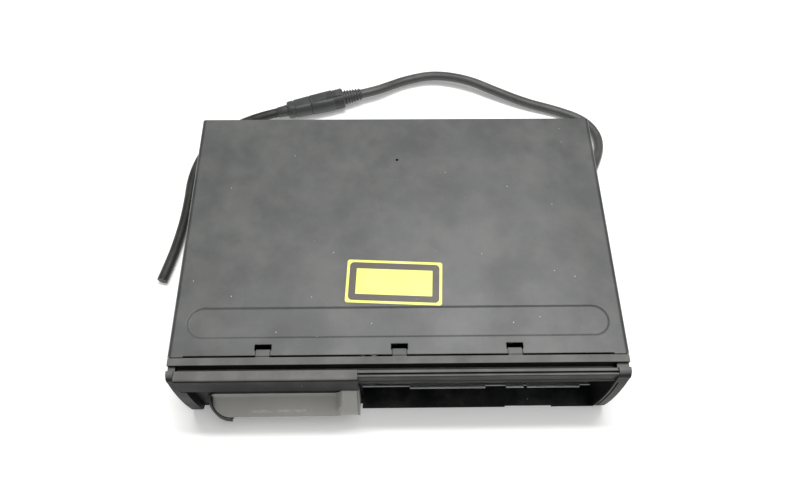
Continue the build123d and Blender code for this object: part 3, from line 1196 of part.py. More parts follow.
def cable_gland():
    """The elbow that turns the lead backwards where it leaves the right side."""
    y = back(GLAND_SETBACK)
    neck = rod(GLAND_NECK_R, (CHASSIS_INSIDE - 1.0, y, GLAND_Z), (HALF + 1, y, GLAND_Z))
    elbow = rod(GLAND_BLOCK_R, (HALF + 0.2, y, GLAND_Z), (GLAND_X, y, GLAND_Z))
    elbow += Pos(GLAND_X, y, GLAND_Z) * Sphere(GLAND_BLOCK_R)
    boot = cone(GLAND_BLOCK_R, GLAND_NECK_R, (GLAND_X, y, GLAND_Z), (GLAND_X, back(GLAND_BOOT_END), GLAND_Z))
    body = neck + elbow + boot
    length = GLAND_BOOT_END - GLAND_SETBACK
    for rib in range(GLAND_RIBS):
        start = y + length * (GLAND_RIB_START + GLAND_RIB_STEP * rib)
        body -= ring(GLAND_BLOCK_R + 1, GLAND_NECK_R - RIB_DEPTH, (GLAND_X, start, GLAND_Z),
                     (GLAND_X, start + 1.0, GLAND_Z))
    return body


def plug_turn():
    """The way that the plug points, in degrees about Z: in line with the lead's last run."""
    before, end = LEAD_ROUTE[-2:]
    return math.degrees(math.atan2(end[1] - before[1], end[0] - before[0]))


def plug_point(distance, height=0.0):
    """A point on the plug's axis, measured from the lead's end."""
    x, setback, z = LEAD_ROUTE[-1]
    angle = math.radians(plug_turn())
    return (x + distance * math.cos(angle), back(setback) + distance * math.sin(angle), z + height)


def plug_boot():
    """The ribbed boot on the lead's end."""
    body = cone(PLUG_BOOT_R[0], PLUG_BOOT_R[1], plug_point(0), plug_point(PLUG_BOOT_LENGTH))
    step = PLUG_BOOT_LENGTH / (PLUG_BOOT_RIBS + 0.5)
    for rib in range(PLUG_BOOT_RIBS):
        start = step * (rib + 0.5)
        body -= ring(PLUG_BOOT_R[1] + 1, PLUG_BOOT_R[0] - PLUG_RIB_DEPTH, plug_point(start),
                     plug_point(start + step * PLUG_RIB_WIDTH))
    return body


def latch_place(below):
    """Where the latch's middle sits, this far under the shell's top, turned with the plug."""
    return Pos(*plug_point(LATCH_MIDDLE, PLUG_BODY_R - below)) * Rot(0, 0, plug_turn())


def plug_body():
    """The plug's shell, with a grip collar, flattened on top for the latch."""
    body = rod(PLUG_BODY_R, plug_point(PLUG_BOOT_LENGTH), plug_point(PLUG_END))
    body = chamfer(body.edges().filter_by(GeomType.CIRCLE), PLUG_EDGE)
    collar_end = PLUG_END - PLUG_COLLAR_INSET
    body += rod(PLUG_COLLAR_R, plug_point(collar_end - PLUG_COLLAR_LENGTH), plug_point(collar_end))
    seat = Box(LATCH_SIZE[0] + 2 * LATCH_ROOM, 2 * PLUG_BODY_R, 2 * LATCH_SIZE[2])
    return body - latch_place(0) * seat


def plug_latch():
    """The sliding latch on top of the plug."""
    latch = latch_place(LATCH_SIZE[2] / 2) * Box(*LATCH_SIZE)
    return fillet(latch.edges().group_by(Axis.Z)[-1], LATCH_EDGE_R)


def inline_socket():
    """The socket that the plug is in, with a narrower nose for the harness."""
    end = PLUG_END + SOCKET_LENGTH
    body = rod(SOCKET_R, plug_point(PLUG_END), plug_point(end))
    body = fillet(body.edges().filter_by(GeomType.CIRCLE), SOCKET_EDGE_R)
    return body + cone(NOSE_R + NOSE_FLARE, NOSE_R, plug_point(end - JOIN), plug_point(end + NOSE_LENGTH))


def harness_tail():
    """The cut harness that comes out of the socket's nose."""
    nose_end = PLUG_END + SOCKET_LENGTH + NOSE_LENGTH
    route = [plug_point(nose_end), plug_point(nose_end + TAIL_START)]
    route += [(x, back(setback), z) for x, setback, z in TAIL_ROUTE_AFTER_NOSE]
    return tube(route, TAIL_R)


def lead_cable():
    """The round lead, from the gland's boot to the plug's boot."""
    return tube([(x, back(setback), z) for x, setback, z in LEAD_ROUTE], LEAD_R)


pieces = {
    "top_cover": top_cover(),
    "base_tray": base_tray(),
    "front_bezel": front_bezel(),
    "label_plate": label_plate(),
    "cover_screws": screw_group(cover_screw_points()),
    "base_screws": screw_group(base_screw_points()),
    "weld_nuts": weld_nuts(),
    "angle_dial_left": angle_dial(-1),
    "angle_dial_right": angle_dial(1),
    "door_panel": door_panel(),
    "door_grip": door_grip(),
    "inner_door": inner_door(),
    "eject_button": eject_button(),
    "eject_spring": eject_spring(),
    "eject_lever": eject_lever(),
    "magazine_case": magazine_case(),
    "magazine_cover": magazine_cover(),
    "loader_frame": loader_frame(),
    "dampers": dampers(),
    "support_springs": support_springs(),
    "lift_base": lift_base(),
    "guide_posts": guide_posts(),
    "lift_screw": drive_screw(LIFT_SCREW_X),
    "lift_gear": screw_gear(LIFT_SCREW_X, 1),
    "lift_pinion": motor_pinion(LIFT_MOTOR_X, -1),
    "lift_motor": station_motor(LIFT_MOTOR_X),
    "clamp_screw": drive_screw(CLAMP_SCREW_X),
    "clamp_gear": screw_gear(CLAMP_SCREW_X, -1),
    "clamp_pinion": motor_pinion(CLAMP_MOTOR_X, 1),
    "clamp_motor": station_motor(CLAMP_MOTOR_X),
    "play_deck": play_deck(),
    "guide_rods": guide_rods(),
    "spindle_motor": spindle_motor(),
    "turntable": turntable(),
    "optical_pickup": optical_pickup(),
    "pickup_lens": pickup_lens(),
    "sled_screw": sled_screw(),
    "sled_motor": sled_motor(),
    "clamp_bridge": clamp_bridge(),
    "disc_clamper": disc_clamper(),
    "main_board": main_board(),
    "board_chips": board_chips(),
    "board_capacitors": board_capacitors(),
    "cable_gland": cable_gland(),
    "lead_cable": lead_cable(),
    "plug_boot": plug_boot(),
    "plug_body": plug_body(),
    "plug_latch": plug_latch(),
    "inline_socket": inline_socket(),
    "harness_tail": harness_tail(),
}
for index in range(TRAY_COUNT):
    pieces[f"disc_tray_{index + 1}"] = disc_tray(index)

os.makedirs("parts", exist_ok=True)
for name, piece in pieces.items():
    export_step(piece, f"parts/{name}.step")

print("outer door travel", round(DOOR_TRAVEL, 3), "tray travel", round(DISC_X - SPINDLE_X, 3))
print("screws at", LIFT_SCREW_X, CLAMP_SCREW_X, "motors at", LIFT_MOTOR_X, CLAMP_MOTOR_X)
print("spindle at", SPINDLE_X, back(DISC_SETBACK), "lever at", LEVER_X, back(LEVER_SETBACK), LEVER_Z)
print("gear ratio", GEAR_TEETH / PINION_TEETH, "pieces", len(pieces))
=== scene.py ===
import json
import math

import bmesh
import bpy
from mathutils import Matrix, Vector


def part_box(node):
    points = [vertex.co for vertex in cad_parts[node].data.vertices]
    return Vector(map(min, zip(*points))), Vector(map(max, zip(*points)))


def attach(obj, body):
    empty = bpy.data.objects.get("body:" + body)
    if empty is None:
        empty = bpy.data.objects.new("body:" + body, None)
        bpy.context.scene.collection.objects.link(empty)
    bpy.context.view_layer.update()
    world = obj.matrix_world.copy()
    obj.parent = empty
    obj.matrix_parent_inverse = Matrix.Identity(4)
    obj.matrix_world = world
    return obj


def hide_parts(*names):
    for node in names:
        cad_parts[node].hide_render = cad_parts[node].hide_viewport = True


# A boot-mounted disc changer on a white table, seen from above its front edge.
# Metres, X to the right, Y to the back, Z up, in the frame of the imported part.

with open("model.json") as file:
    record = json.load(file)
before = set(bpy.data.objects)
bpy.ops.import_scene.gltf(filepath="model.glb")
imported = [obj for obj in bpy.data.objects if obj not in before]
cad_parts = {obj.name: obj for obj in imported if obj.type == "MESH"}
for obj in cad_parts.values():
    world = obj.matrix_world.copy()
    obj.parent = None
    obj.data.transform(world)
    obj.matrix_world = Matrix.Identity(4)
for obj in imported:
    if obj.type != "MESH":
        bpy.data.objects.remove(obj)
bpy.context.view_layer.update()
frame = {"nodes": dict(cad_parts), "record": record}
NODES = frame["nodes"]

FRONT = -0.070
LEAD_RADIUS = 0.0035


def back(setback):
    """The Y that lies this far behind the cover's front edge."""
    return FRONT + setback


def added(name, data):
    """An object with this data, in the scene."""
    made = bpy.data.objects.new(name, data)
    bpy.context.scene.collection.objects.link(made)
    return made


# Camera

LENS_MM, SENSOR_MM = 30.465, 36.0
CAMERA_PLACE = (-0.004245, -0.192067, 0.419740)
CAMERA_TURN_DEG = (27.63743, -0.49120, -0.71211)

camera_data = bpy.data.cameras.new("camera")
camera_data.lens = LENS_MM
camera_data.sensor_width = SENSOR_MM
camera_data.clip_start = 0.01
camera = added("camera", camera_data)
camera.location = CAMERA_PLACE
camera.rotation_euler = [math.radians(turn) for turn in CAMERA_TURN_DEG]
bpy.context.scene.camera = camera


# Lead and harness tail

LEAD_ROUTE = (
    (0.1370, 0.1240, 0.0085), (0.1370, 0.1360, 0.0085), (0.1396, 0.1500, 0.0060), (0.1470, 0.1650, 0.0040),
    (0.1535, 0.1800, 0.0036), (0.1536, 0.1950, 0.0036), (0.1445, 0.2085, 0.0036), (0.1250, 0.2175, 0.0038),
    (0.1020, 0.2240, 0.0050), (0.0790, 0.2340, 0.0070), (0.0570, 0.2455, 0.0080), (0.0310, 0.2515, 0.0070),
    (0.0090, 0.2470, 0.0058), (-0.0045, 0.2404, 0.0066), (-0.0152, 0.2344, 0.0080), (-0.0268, 0.2311, 0.0080),
)
TAIL_ROUTE = (
    (-0.1185, 0.2046, 0.0052), (-0.1315, 0.1956, 0.0038), (-0.1410, 0.1830, 0.0038),
    (-0.1468, 0.1686, 0.0038), (-0.1493, 0.1530, 0.0038), (-0.1490, 0.1370, 0.0038),
    (-0.1498, 0.1210, 0.0038), (-0.1518, 0.1050, 0.0038), (-0.1548, 0.0890, 0.0038),
    (-0.1588, 0.0735, 0.0038),
)
PLUG_LENGTH = 0.066
TAIL_START = 0.011
CURVE_STEPS = 16


def on_table(route):
    """A route of setbacks, as points in the frame."""
    return [(x, back(setback), z) for x, setback, z in route]


def plug_point(distance, height=0.0, side=0.0):
    """A point at a distance along the plug from the lead's end, raised or moved to its side."""
    before, end = [Vector(p) for p in on_table(LEAD_ROUTE)[-2:]]
    along = Vector((end.x - before.x, end.y - before.y, 0)).normalized()
    across = Vector((-along.y, along.x, 0))
    return end + along * distance + across * side + Vector((0, 0, height))


def cord(name, route, radius):
    """A round cord on a smooth curve through its route."""
    curve = bpy.data.curves.new(name, "CURVE")
    curve.dimensions = "3D"
    curve.bevel_depth = radius
    curve.bevel_resolution = 7
    curve.resolution_u = CURVE_STEPS
    curve.use_fill_caps = True
    line = curve.splines.new("NURBS")
    line.points.add(len(route) - 1)
    for point, place in zip(line.points, route):
        point.co = (*place, 1.0)
    line.order_u = 3
    line.use_endpoint_u = True
    return added(name, curve)


lead_points = on_table(LEAD_ROUTE)
tail_points = [tuple(plug_point(PLUG_LENGTH + d)) for d in (0.0, TAIL_START)] + on_table(TAIL_ROUTE)
lead = cord("lead", lead_points, LEAD_RADIUS)
tail = cord("tail", tail_points, LEAD_RADIUS)


# Node groups that several finishes share

def new_node(tree, kind, values=None, **settings):
    """A node with its settings and its unlinked inputs set."""
    made = tree.nodes.new(kind)
    for key, value in settings.items():
        setattr(made, key, value)
    for key, value in (values or {}).items():
        made.inputs[key].default_value = value
    return made


def join(tree, out, into):
    """A link from one socket to another."""
    tree.links.new(out, into)
    return into


def group(name, inputs, outputs):
    """An empty node group with named inputs and outputs, and its two end nodes."""
    tree = bpy.data.node_groups.new(name, "ShaderNodeTree")
    for label, kind, value in inputs:
        socket = tree.interface.new_socket(name=label, in_out="INPUT", socket_type=kind)
        if value is not None:
            socket.default_value = value
    for label, kind in outputs:
        tree.interface.new_socket(name=label, in_out="OUTPUT", socket_type=kind)
    return tree, tree.nodes.new("NodeGroupInput").outputs, tree.nodes.new("NodeGroupOutput").inputs


def object_place(tree):
    """The place on a piece, in the frame."""
    return new_node(tree, "ShaderNodeTexCoord").outputs["Object"]


def part_of(tree, vector, axis):
    """One axis of a vector."""
    split = new_node(tree, "ShaderNodeSeparateXYZ")
    join(tree, vector, split.inputs[0])
    return split.outputs[axis]


def object_noise(tree, scale, detail=3.0, roughness=0.55, stretch=None, offset=(0, 0, 0)):
    """A noise texture on object coordinates, stretched along an axis if asked."""
    place = object_place(tree)
    if stretch or any(offset):
        mapping = new_node(tree, "ShaderNodeMapping", {"Scale": stretch or (1, 1, 1), "Location": offset})
        join(tree, place, mapping.inputs["Vector"])
        place = mapping.outputs["Vector"]
    noise = new_node(tree, "ShaderNodeTexNoise", {"Detail": detail, "Roughness": roughness})
    join(tree, place, noise.inputs["Vector"])
    if isinstance(scale, (int, float)):
        noise.inputs["Scale"].default_value = scale
    else:
        join(tree, scale, noise.inputs["Scale"])
    return noise.outputs["Fac"]


def between(tree, value, low, high, to_low=0.0, to_high=1.0):
    """A value brought from one range to another, smoothly and held at the ends."""
    limits = {"From Min": low, "From Max": high, "To Min": to_low, "To Max": to_high}
    ranged = new_node(tree, "ShaderNodeMapRange", limits, interpolation_type="SMOOTHSTEP")
    join(tree, value, ranged.inputs["Value"])
    return ranged.outputs["Result"]


def math_node(tree, operation, a, b):
    """A math node on two sockets or numbers."""
    made = new_node(tree, "ShaderNodeMath", operation=operation)
    for index, value in enumerate((a, b)):
        if isinstance(value, (int, float)):
            made.inputs[index].default_value = value
        else:
            join(tree, value, made.inputs[index])
    return made.outputs[0]


def product(tree, a, b):
    """Two sockets or numbers multiplied."""
    return math_node(tree, "MULTIPLY", a, b)


def blended(tree, factor, a, b):
    """Two colours mixed by a mask. Each is a socket or a colour."""
    made = new_node(tree, "ShaderNodeMix", data_type="RGBA")
    for socket, value in ((made.inputs[0], factor), (made.inputs[6], a), (made.inputs[7], b)):
        if isinstance(value, (int, float)):
            socket.default_value = value
        elif isinstance(value, tuple):
            socket.default_value = (*value, 1.0)
        else:
            join(tree, value, socket)
    return made.outputs[2]


def rounded_edges():
    """Softened corners, and a broken mask of where they are rubbed."""
    tree, given, out = group("rounded_edges",
                             [("Radius", "NodeSocketFloat", 0.0004), ("Break Up", "NodeSocketFloat", 300.0)],
                             [("Normal", "NodeSocketVector"), ("Rubbed", "NodeSocketFloat")])
    bevel = new_node(tree, "ShaderNodeBevel", samples=6)
    join(tree, given["Radius"], bevel.inputs["Radius"])
    flat = new_node(tree, "ShaderNodeNewGeometry").outputs["Normal"]
    angle = new_node(tree, "ShaderNodeVectorMath", operation="DOT_PRODUCT")
    join(tree, bevel.outputs["Normal"], angle.inputs[0])
    join(tree, flat, angle.inputs[1])
    corner = between(tree, angle.outputs["Value"], 0.995, 0.86)
    patchy = between(tree, object_noise(tree, given["Break Up"], 4.0, 0.7), 0.42, 0.62)
    join(tree, product(tree, corner, patchy), out["Rubbed"])
    join(tree, bevel.outputs["Normal"], out["Normal"])
    return tree


def fine_grain():
    """A fine moulded or sprayed grain, as a height and as a speckle."""
    tree, given, out = group("fine_grain", [("Scale", "NodeSocketFloat", 1500.0)],
                             [("Height", "NodeSocketFloat"), ("Speckle", "NodeSocketFloat")])
    noise = object_noise(tree, given["Scale"], 2.0, 0.6)
    join(tree, noise, out["Height"])
    join(tree, between(tree, noise, 0.62, 0.72), out["Speckle"])
    return tree


def handling_marks():
    """Broad smudges of handling and thin stray scratches."""
    outputs = [(label, "NodeSocketFloat") for label in ("Smudge", "Scratch", "Lint")]
    tree, given, out = group("handling_marks", [("Scale", "NodeSocketFloat", 28.0)], outputs)
    broad = object_noise(tree, given["Scale"], 5.0, 0.6)
    join(tree, between(tree, broad, 0.35, 0.68), out["Smudge"])
    long_way = object_noise(tree, 60.0, 2.0, 0.5, stretch=(1.0, 14.0, 6.0))
    short_way = object_noise(tree, 45.0, 2.0, 0.5, stretch=(16.0, 1.2, 6.0), offset=(3.1, 0.4, 0.0))
    thin = []
    for noise in (long_way, short_way):
        from_middle = math_node(tree, "ABSOLUTE", math_node(tree, "SUBTRACT", noise, 0.5), 0)
        thin.append(between(tree, from_middle, 0.004, 0.0))
    patch = between(tree, object_noise(tree, 90.0, 2.0, 0.5, offset=(0, 7.7, 0)), 0.58, 0.72)
    join(tree, product(tree, math_node(tree, "MAXIMUM", thin[0], thin[1]), patch), out["Scratch"])
    spots = new_node(tree, "ShaderNodeTexVoronoi", {"Scale": 260.0, "Randomness": 1.0})
    join(tree, object_place(tree), spots.inputs["Vector"])
    tiny = between(tree, spots.outputs["Distance"], 0.10, 0.05)
    picked = new_node(tree, "ShaderNodeSeparateColor")
    join(tree, spots.outputs["Color"], picked.inputs[0])
    rare = between(tree, picked.outputs[0], 0.93, 0.94)
    join(tree, product(tree, tiny, rare), out["Lint"])
    return tree


def dust_and_top_light():
    """Clouds of dust on the faces that look up, and a more even lighter film on them, which is dust and
    painted light from above together.
    """
    tree, given, out = group("dust_and_top_light", [("Scale", "NodeSocketFloat", 40.0)],
                             [("Dust", "NodeSocketFloat"), ("Dust And Top Light", "NodeSocketFloat")])
    up = part_of(tree, new_node(tree, "ShaderNodeNewGeometry").outputs["Normal"], "Z")
    facing = between(tree, up, 0.5, 0.95)
    cloud = between(tree, object_noise(tree, given["Scale"], 6.0, 0.65), 0.35, 0.75)
    join(tree, product(tree, facing, cloud), out["Dust"])
    finer = object_noise(tree, product(tree, given["Scale"], 1.7), 5.0, 0.6)
    # dust and painted light: an even lighter tone on every face that looks up
    join(tree, product(tree, facing, between(tree, finer, 0.3, 0.7, 0.72, 1.0)), out["Dust And Top Light"])
    return tree


ROUNDED_EDGES = rounded_edges()
FINE_GRAIN = fine_grain()
HANDLING_MARKS = handling_marks()
DUST_AND_TOP_LIGHT = dust_and_top_light()


def placed(tree, node_group, **values):
    """A node group in a material, with its own values."""
    made = new_node(tree, "ShaderNodeGroup")
    made.node_tree = node_group
    for label, value in values.items():
        made.inputs[label.replace("_", " ")].default_value = value
    return made.outputs


DUST_TONE = (0.42, 0.41, 0.38)
LINT_TONE = (0.75, 0.74, 0.70)
PATTERN_SMUDGE_TONE = (0.02, 0.02, 0.02)
SPECKLE = 0.12
SMUDGE_SHIFT = 0.25


def finish(name, colour, roughness=0.5, metallic=0.0, worn=None, rub=0.5, edge=0.0003, grain=1500.0,
           relief=0.00002, smudge=0.2, smudge_scale=28.0, scratch=0.15, lint=0.0, dust=0.1, film=None,
           pattern=None, **sockets):
    """A material with the marks of use: grain, rounded and rubbed edges, smudges, scratches and dust.

    The pattern is a function that gives the tone under the marks. The film is the tone, or such a function,
    of the faces that look up: dust and painted light from above together. Sockets of the shader may be set by
    name."""
    material = bpy.data.materials.new(name)
    material.use_nodes = True
    tree = material.node_tree
    shader = tree.nodes["Principled BSDF"]
    for label, value in {"Metallic": metallic, **sockets}.items():
        shader.inputs[label.replace("_", " ")].default_value = value
    edges = placed(tree, ROUNDED_EDGES, Radius=edge)
    fine = placed(tree, FINE_GRAIN, Scale=grain)
    marks = placed(tree, HANDLING_MARKS, Scale=smudge_scale)
    dust_and_light = placed(tree, DUST_AND_TOP_LIGHT)
    speckled = tuple(min(1.0, c * 1.5 + 0.01) for c in colour)
    pale = worn or tuple(min(1.0, c * 2.0 + 0.04) for c in colour)
    if pattern is None:
        tone = colour
        layers = [(marks["Smudge"], 1.0, tuple(c * (1 - 0.35 * smudge) for c in colour))]
    else:
        tone = pattern(tree)
        layers = [(marks["Smudge"], 0.1 * smudge, PATTERN_SMUDGE_TONE)]
    layers.append((fine["Speckle"], SPECKLE, speckled))
    # the film layer is dust and painted light from above together, a lighter colour on faces that look up
    if film:
        layers.append((dust_and_light["Dust And Top Light"], 1.0, film(tree) if callable(film) else film))
    layers += [(dust_and_light["Dust"], dust, DUST_TONE), (edges["Rubbed"], rub, pale),
               (marks["Scratch"], scratch, pale)]
    if lint:
        layers.append((marks["Lint"], lint, LINT_TONE))
    for mask, strength, over in layers:
        tone = blended(tree, product(tree, mask, strength), tone, over)
    join(tree, tone, shader.inputs["Base Color"])
    shift = SMUDGE_SHIFT * smudge
    wiped, smeared = roughness * (1 - shift), min(1.0, roughness * (1 + shift))
    rough = between(tree, marks["Smudge"], 0.0, 1.0, wiped, smeared)
    rough = math_node(tree, "ADD", rough, product(tree, dust_and_light["Dust"], 0.25 * dust))
    join(tree, rough, shader.inputs["Roughness"])
    bump = new_node(tree, "ShaderNodeBump", {"Strength": 1.0, "Distance": relief})
    height = math_node(tree, "SUBTRACT", fine["Height"], product(tree, marks["Scratch"], scratch))
    join(tree, height, bump.inputs["Height"])
    join(tree, edges["Normal"], bump.inputs["Normal"])
    join(tree, bump.outputs["Normal"], shader.inputs["Normal"])
    return material


def box_mask(tree, centre, turn_deg, half, corner, soft=0.00008):
    """A rounded rectangle on a horizontal surface, as a mask."""
    place = new_node(tree, "ShaderNodeVectorMath", operation="SUBTRACT")
    join(tree, object_place(tree), place.inputs[0])
    place.inputs[1].default_value = (*centre, 0)
    turning = {"Angle": math.radians(-turn_deg)}
    straight = new_node(tree, "ShaderNodeVectorRotate", turning, rotation_type="Z_AXIS")
    join(tree, place.outputs[0], straight.inputs["Vector"])
    outside = []
    for axis, reach in zip(("X", "Y"), half):
        from_middle = math_node(tree, "ABSOLUTE", part_of(tree, straight.outputs[0], axis), 0)
        far = math_node(tree, "SUBTRACT", from_middle, reach - corner)
        outside.append(math_node(tree, "POWER", math_node(tree, "MAXIMUM", far, 0.0), 2.0))
    distance = math_node(tree, "POWER", math_node(tree, "ADD", outside[0], outside[1]), 0.5)
    return between(tree, distance, corner + soft, corner - soft)


LABEL_CENTRE = (-0.0025, back(0.0445))
LABEL_TURN = -2.7
LABEL_FRAME, LABEL_FRAME_CORNER = (0.0264, 0.0122), 0.0026
LABEL_PANEL, LABEL_PANEL_CORNER = (0.0223, 0.0082), 0.0002
# painted fold shade: from the first to the second distance from the middle in X, the cover turns darker
COVER_FOLD_SHADE = (0.1252, 0.1268)
# painted slot shade: below the first height the bezel's faces are near black, above the second they take the
# lighter tone
SLOT_SHADE_HEIGHTS = (0.030, 0.046)
SNAP_TABS = (-0.0757, 0.0001, 0.0645)
SNAP_LINE_SETBACK, SNAP_LINE = 0.0002, (0.0040, 0.00025)
WEAR_SETBACK = -0.0195
WEAR_X, WEAR_LINE = -0.0722, (0.0170, 0.0007)
WEAR_SPOT_X, WEAR_SPOT = -0.0352, (0.0012, 0.0007)


def label_print(tree):
    """Yellow film with a dark frame round a bare panel."""
    faded = between(tree, object_noise(tree, 60.0, 4.0), 0.4, 0.7)
    yellow = blended(tree, faded, (0.95, 0.98, 0.24), (0.90, 0.92, 0.20))
    dark = (0.100, 0.086, 0.080)
    frame_mask = box_mask(tree, LABEL_CENTRE, LABEL_TURN, LABEL_FRAME, LABEL_FRAME_CORNER)
    panel_mask = box_mask(tree, LABEL_CENTRE, LABEL_TURN, LABEL_PANEL, LABEL_PANEL_CORNER)
    return blended(tree, panel_mask, blended(tree, frame_mask, yellow, dark), yellow)


def cover_paint_and_fold_shade(tree):
    """Satin black paint, with painted shade darkening the folds at both sides."""
    from_middle = math_node(tree, "ABSOLUTE", part_of(tree, object_place(tree), "X"), 0)
    handled = between(tree, object_noise(tree, 30.0, 5.0, 0.6), 0.35, 0.68)
    paint = blended(tree, handled, (0.092, 0.096, 0.094), (0.074, 0.077, 0.075))
    # painted shade: the side folds turn away from the light, so they are given a darker tone
    return blended(tree, between(tree, from_middle, *COVER_FOLD_SHADE), paint, (0.034, 0.036, 0.035))


def bezel_top_light_and_slot_shade(tree):
    """The bezel's upper faces lighter with dust and painted light from above, painted shade down in the slot,
    and dark where a snap tab passes the cover's edge.
    """
    high = between(tree, part_of(tree, object_place(tree), "Z"), *SLOT_SHADE_HEIGHTS)
    # painted shade low down in the slot; above it the lighter tone is dust and painted light from above
    tone = blended(tree, high, (0.006, 0.007, 0.008), (0.150, 0.152, 0.147))
    for x in SNAP_TABS:
        line = box_mask(tree, (x, back(SNAP_LINE_SETBACK)), 0.0, SNAP_LINE, 0.0001)
        tone = blended(tree, line, tone, (0.010, 0.010, 0.010))
    return tone


def grip_wear_and_facet_shade(tree):
    """Warm grey plastic, with painted shade darkening the steep facet, worn whitish in a broken line along
    the lip.
    """
    cloudy = between(tree, object_noise(tree, 35.0, 4.0), 0.35, 0.7)
    warm = blended(tree, cloudy, (0.500, 0.494, 0.460), (0.560, 0.550, 0.515))
    # painted shade: the steep facet at the right end gets less light from above, so it is given a darker tone
    facet_shade = between(tree, part_of(tree, object_place(tree), "X"), -0.0370, -0.0315)
    warm = blended(tree, facet_shade, warm, (0.350, 0.346, 0.322))
    line = box_mask(tree, (WEAR_X, back(WEAR_SETBACK)), 0.5, WEAR_LINE, 0.0005, 0.0004)
    broken = between(tree, object_noise(tree, 500.0, 3.0, 0.6, stretch=(0.4, 1.0, 1.0)), 0.36, 0.58)
    worn = blended(tree, product(tree, line, broken), warm, (0.72, 0.71, 0.68))
    spot = box_mask(tree, (WEAR_SPOT_X, back(WEAR_SETBACK)), 30.0, WEAR_SPOT, 0.0005, 0.0004)
    return blended(tree, product(tree, spot, 0.6), worn, (0.70, 0.69, 0.66))


def laminate_tracks(tree):
    """Green lacquer over copper tracks and tinned pads."""
    coordinates = object_place(tree)
    bricks = new_node(tree, "ShaderNodeTexBrick", {
        "Scale": 90.0, "Mortar Size": 0.06, "Mortar Smooth": 0.0, "Bias": 0.0, "Brick Width": 0.9,
        "Row Height": 0.22, "Color1": (0, 0, 0, 1), "Color2": (0.35, 0.35, 0.35, 1), "Mortar": (1, 1, 1, 1)})
    join(tree, coordinates, bricks.inputs["Vector"])
    green = blended(tree, bricks.outputs["Color"], (0.020, 0.110, 0.045), (0.050, 0.190, 0.070))
    pads = new_node(tree, "ShaderNodeTexVoronoi", {"Scale": 260.0, "Randomness": 0.25})
    join(tree, coordinates, pads.inputs["Vector"])
    return blended(tree, between(tree, pads.outputs["Distance"], 0.20, 0.16), green, (0.62, 0.60, 0.55))


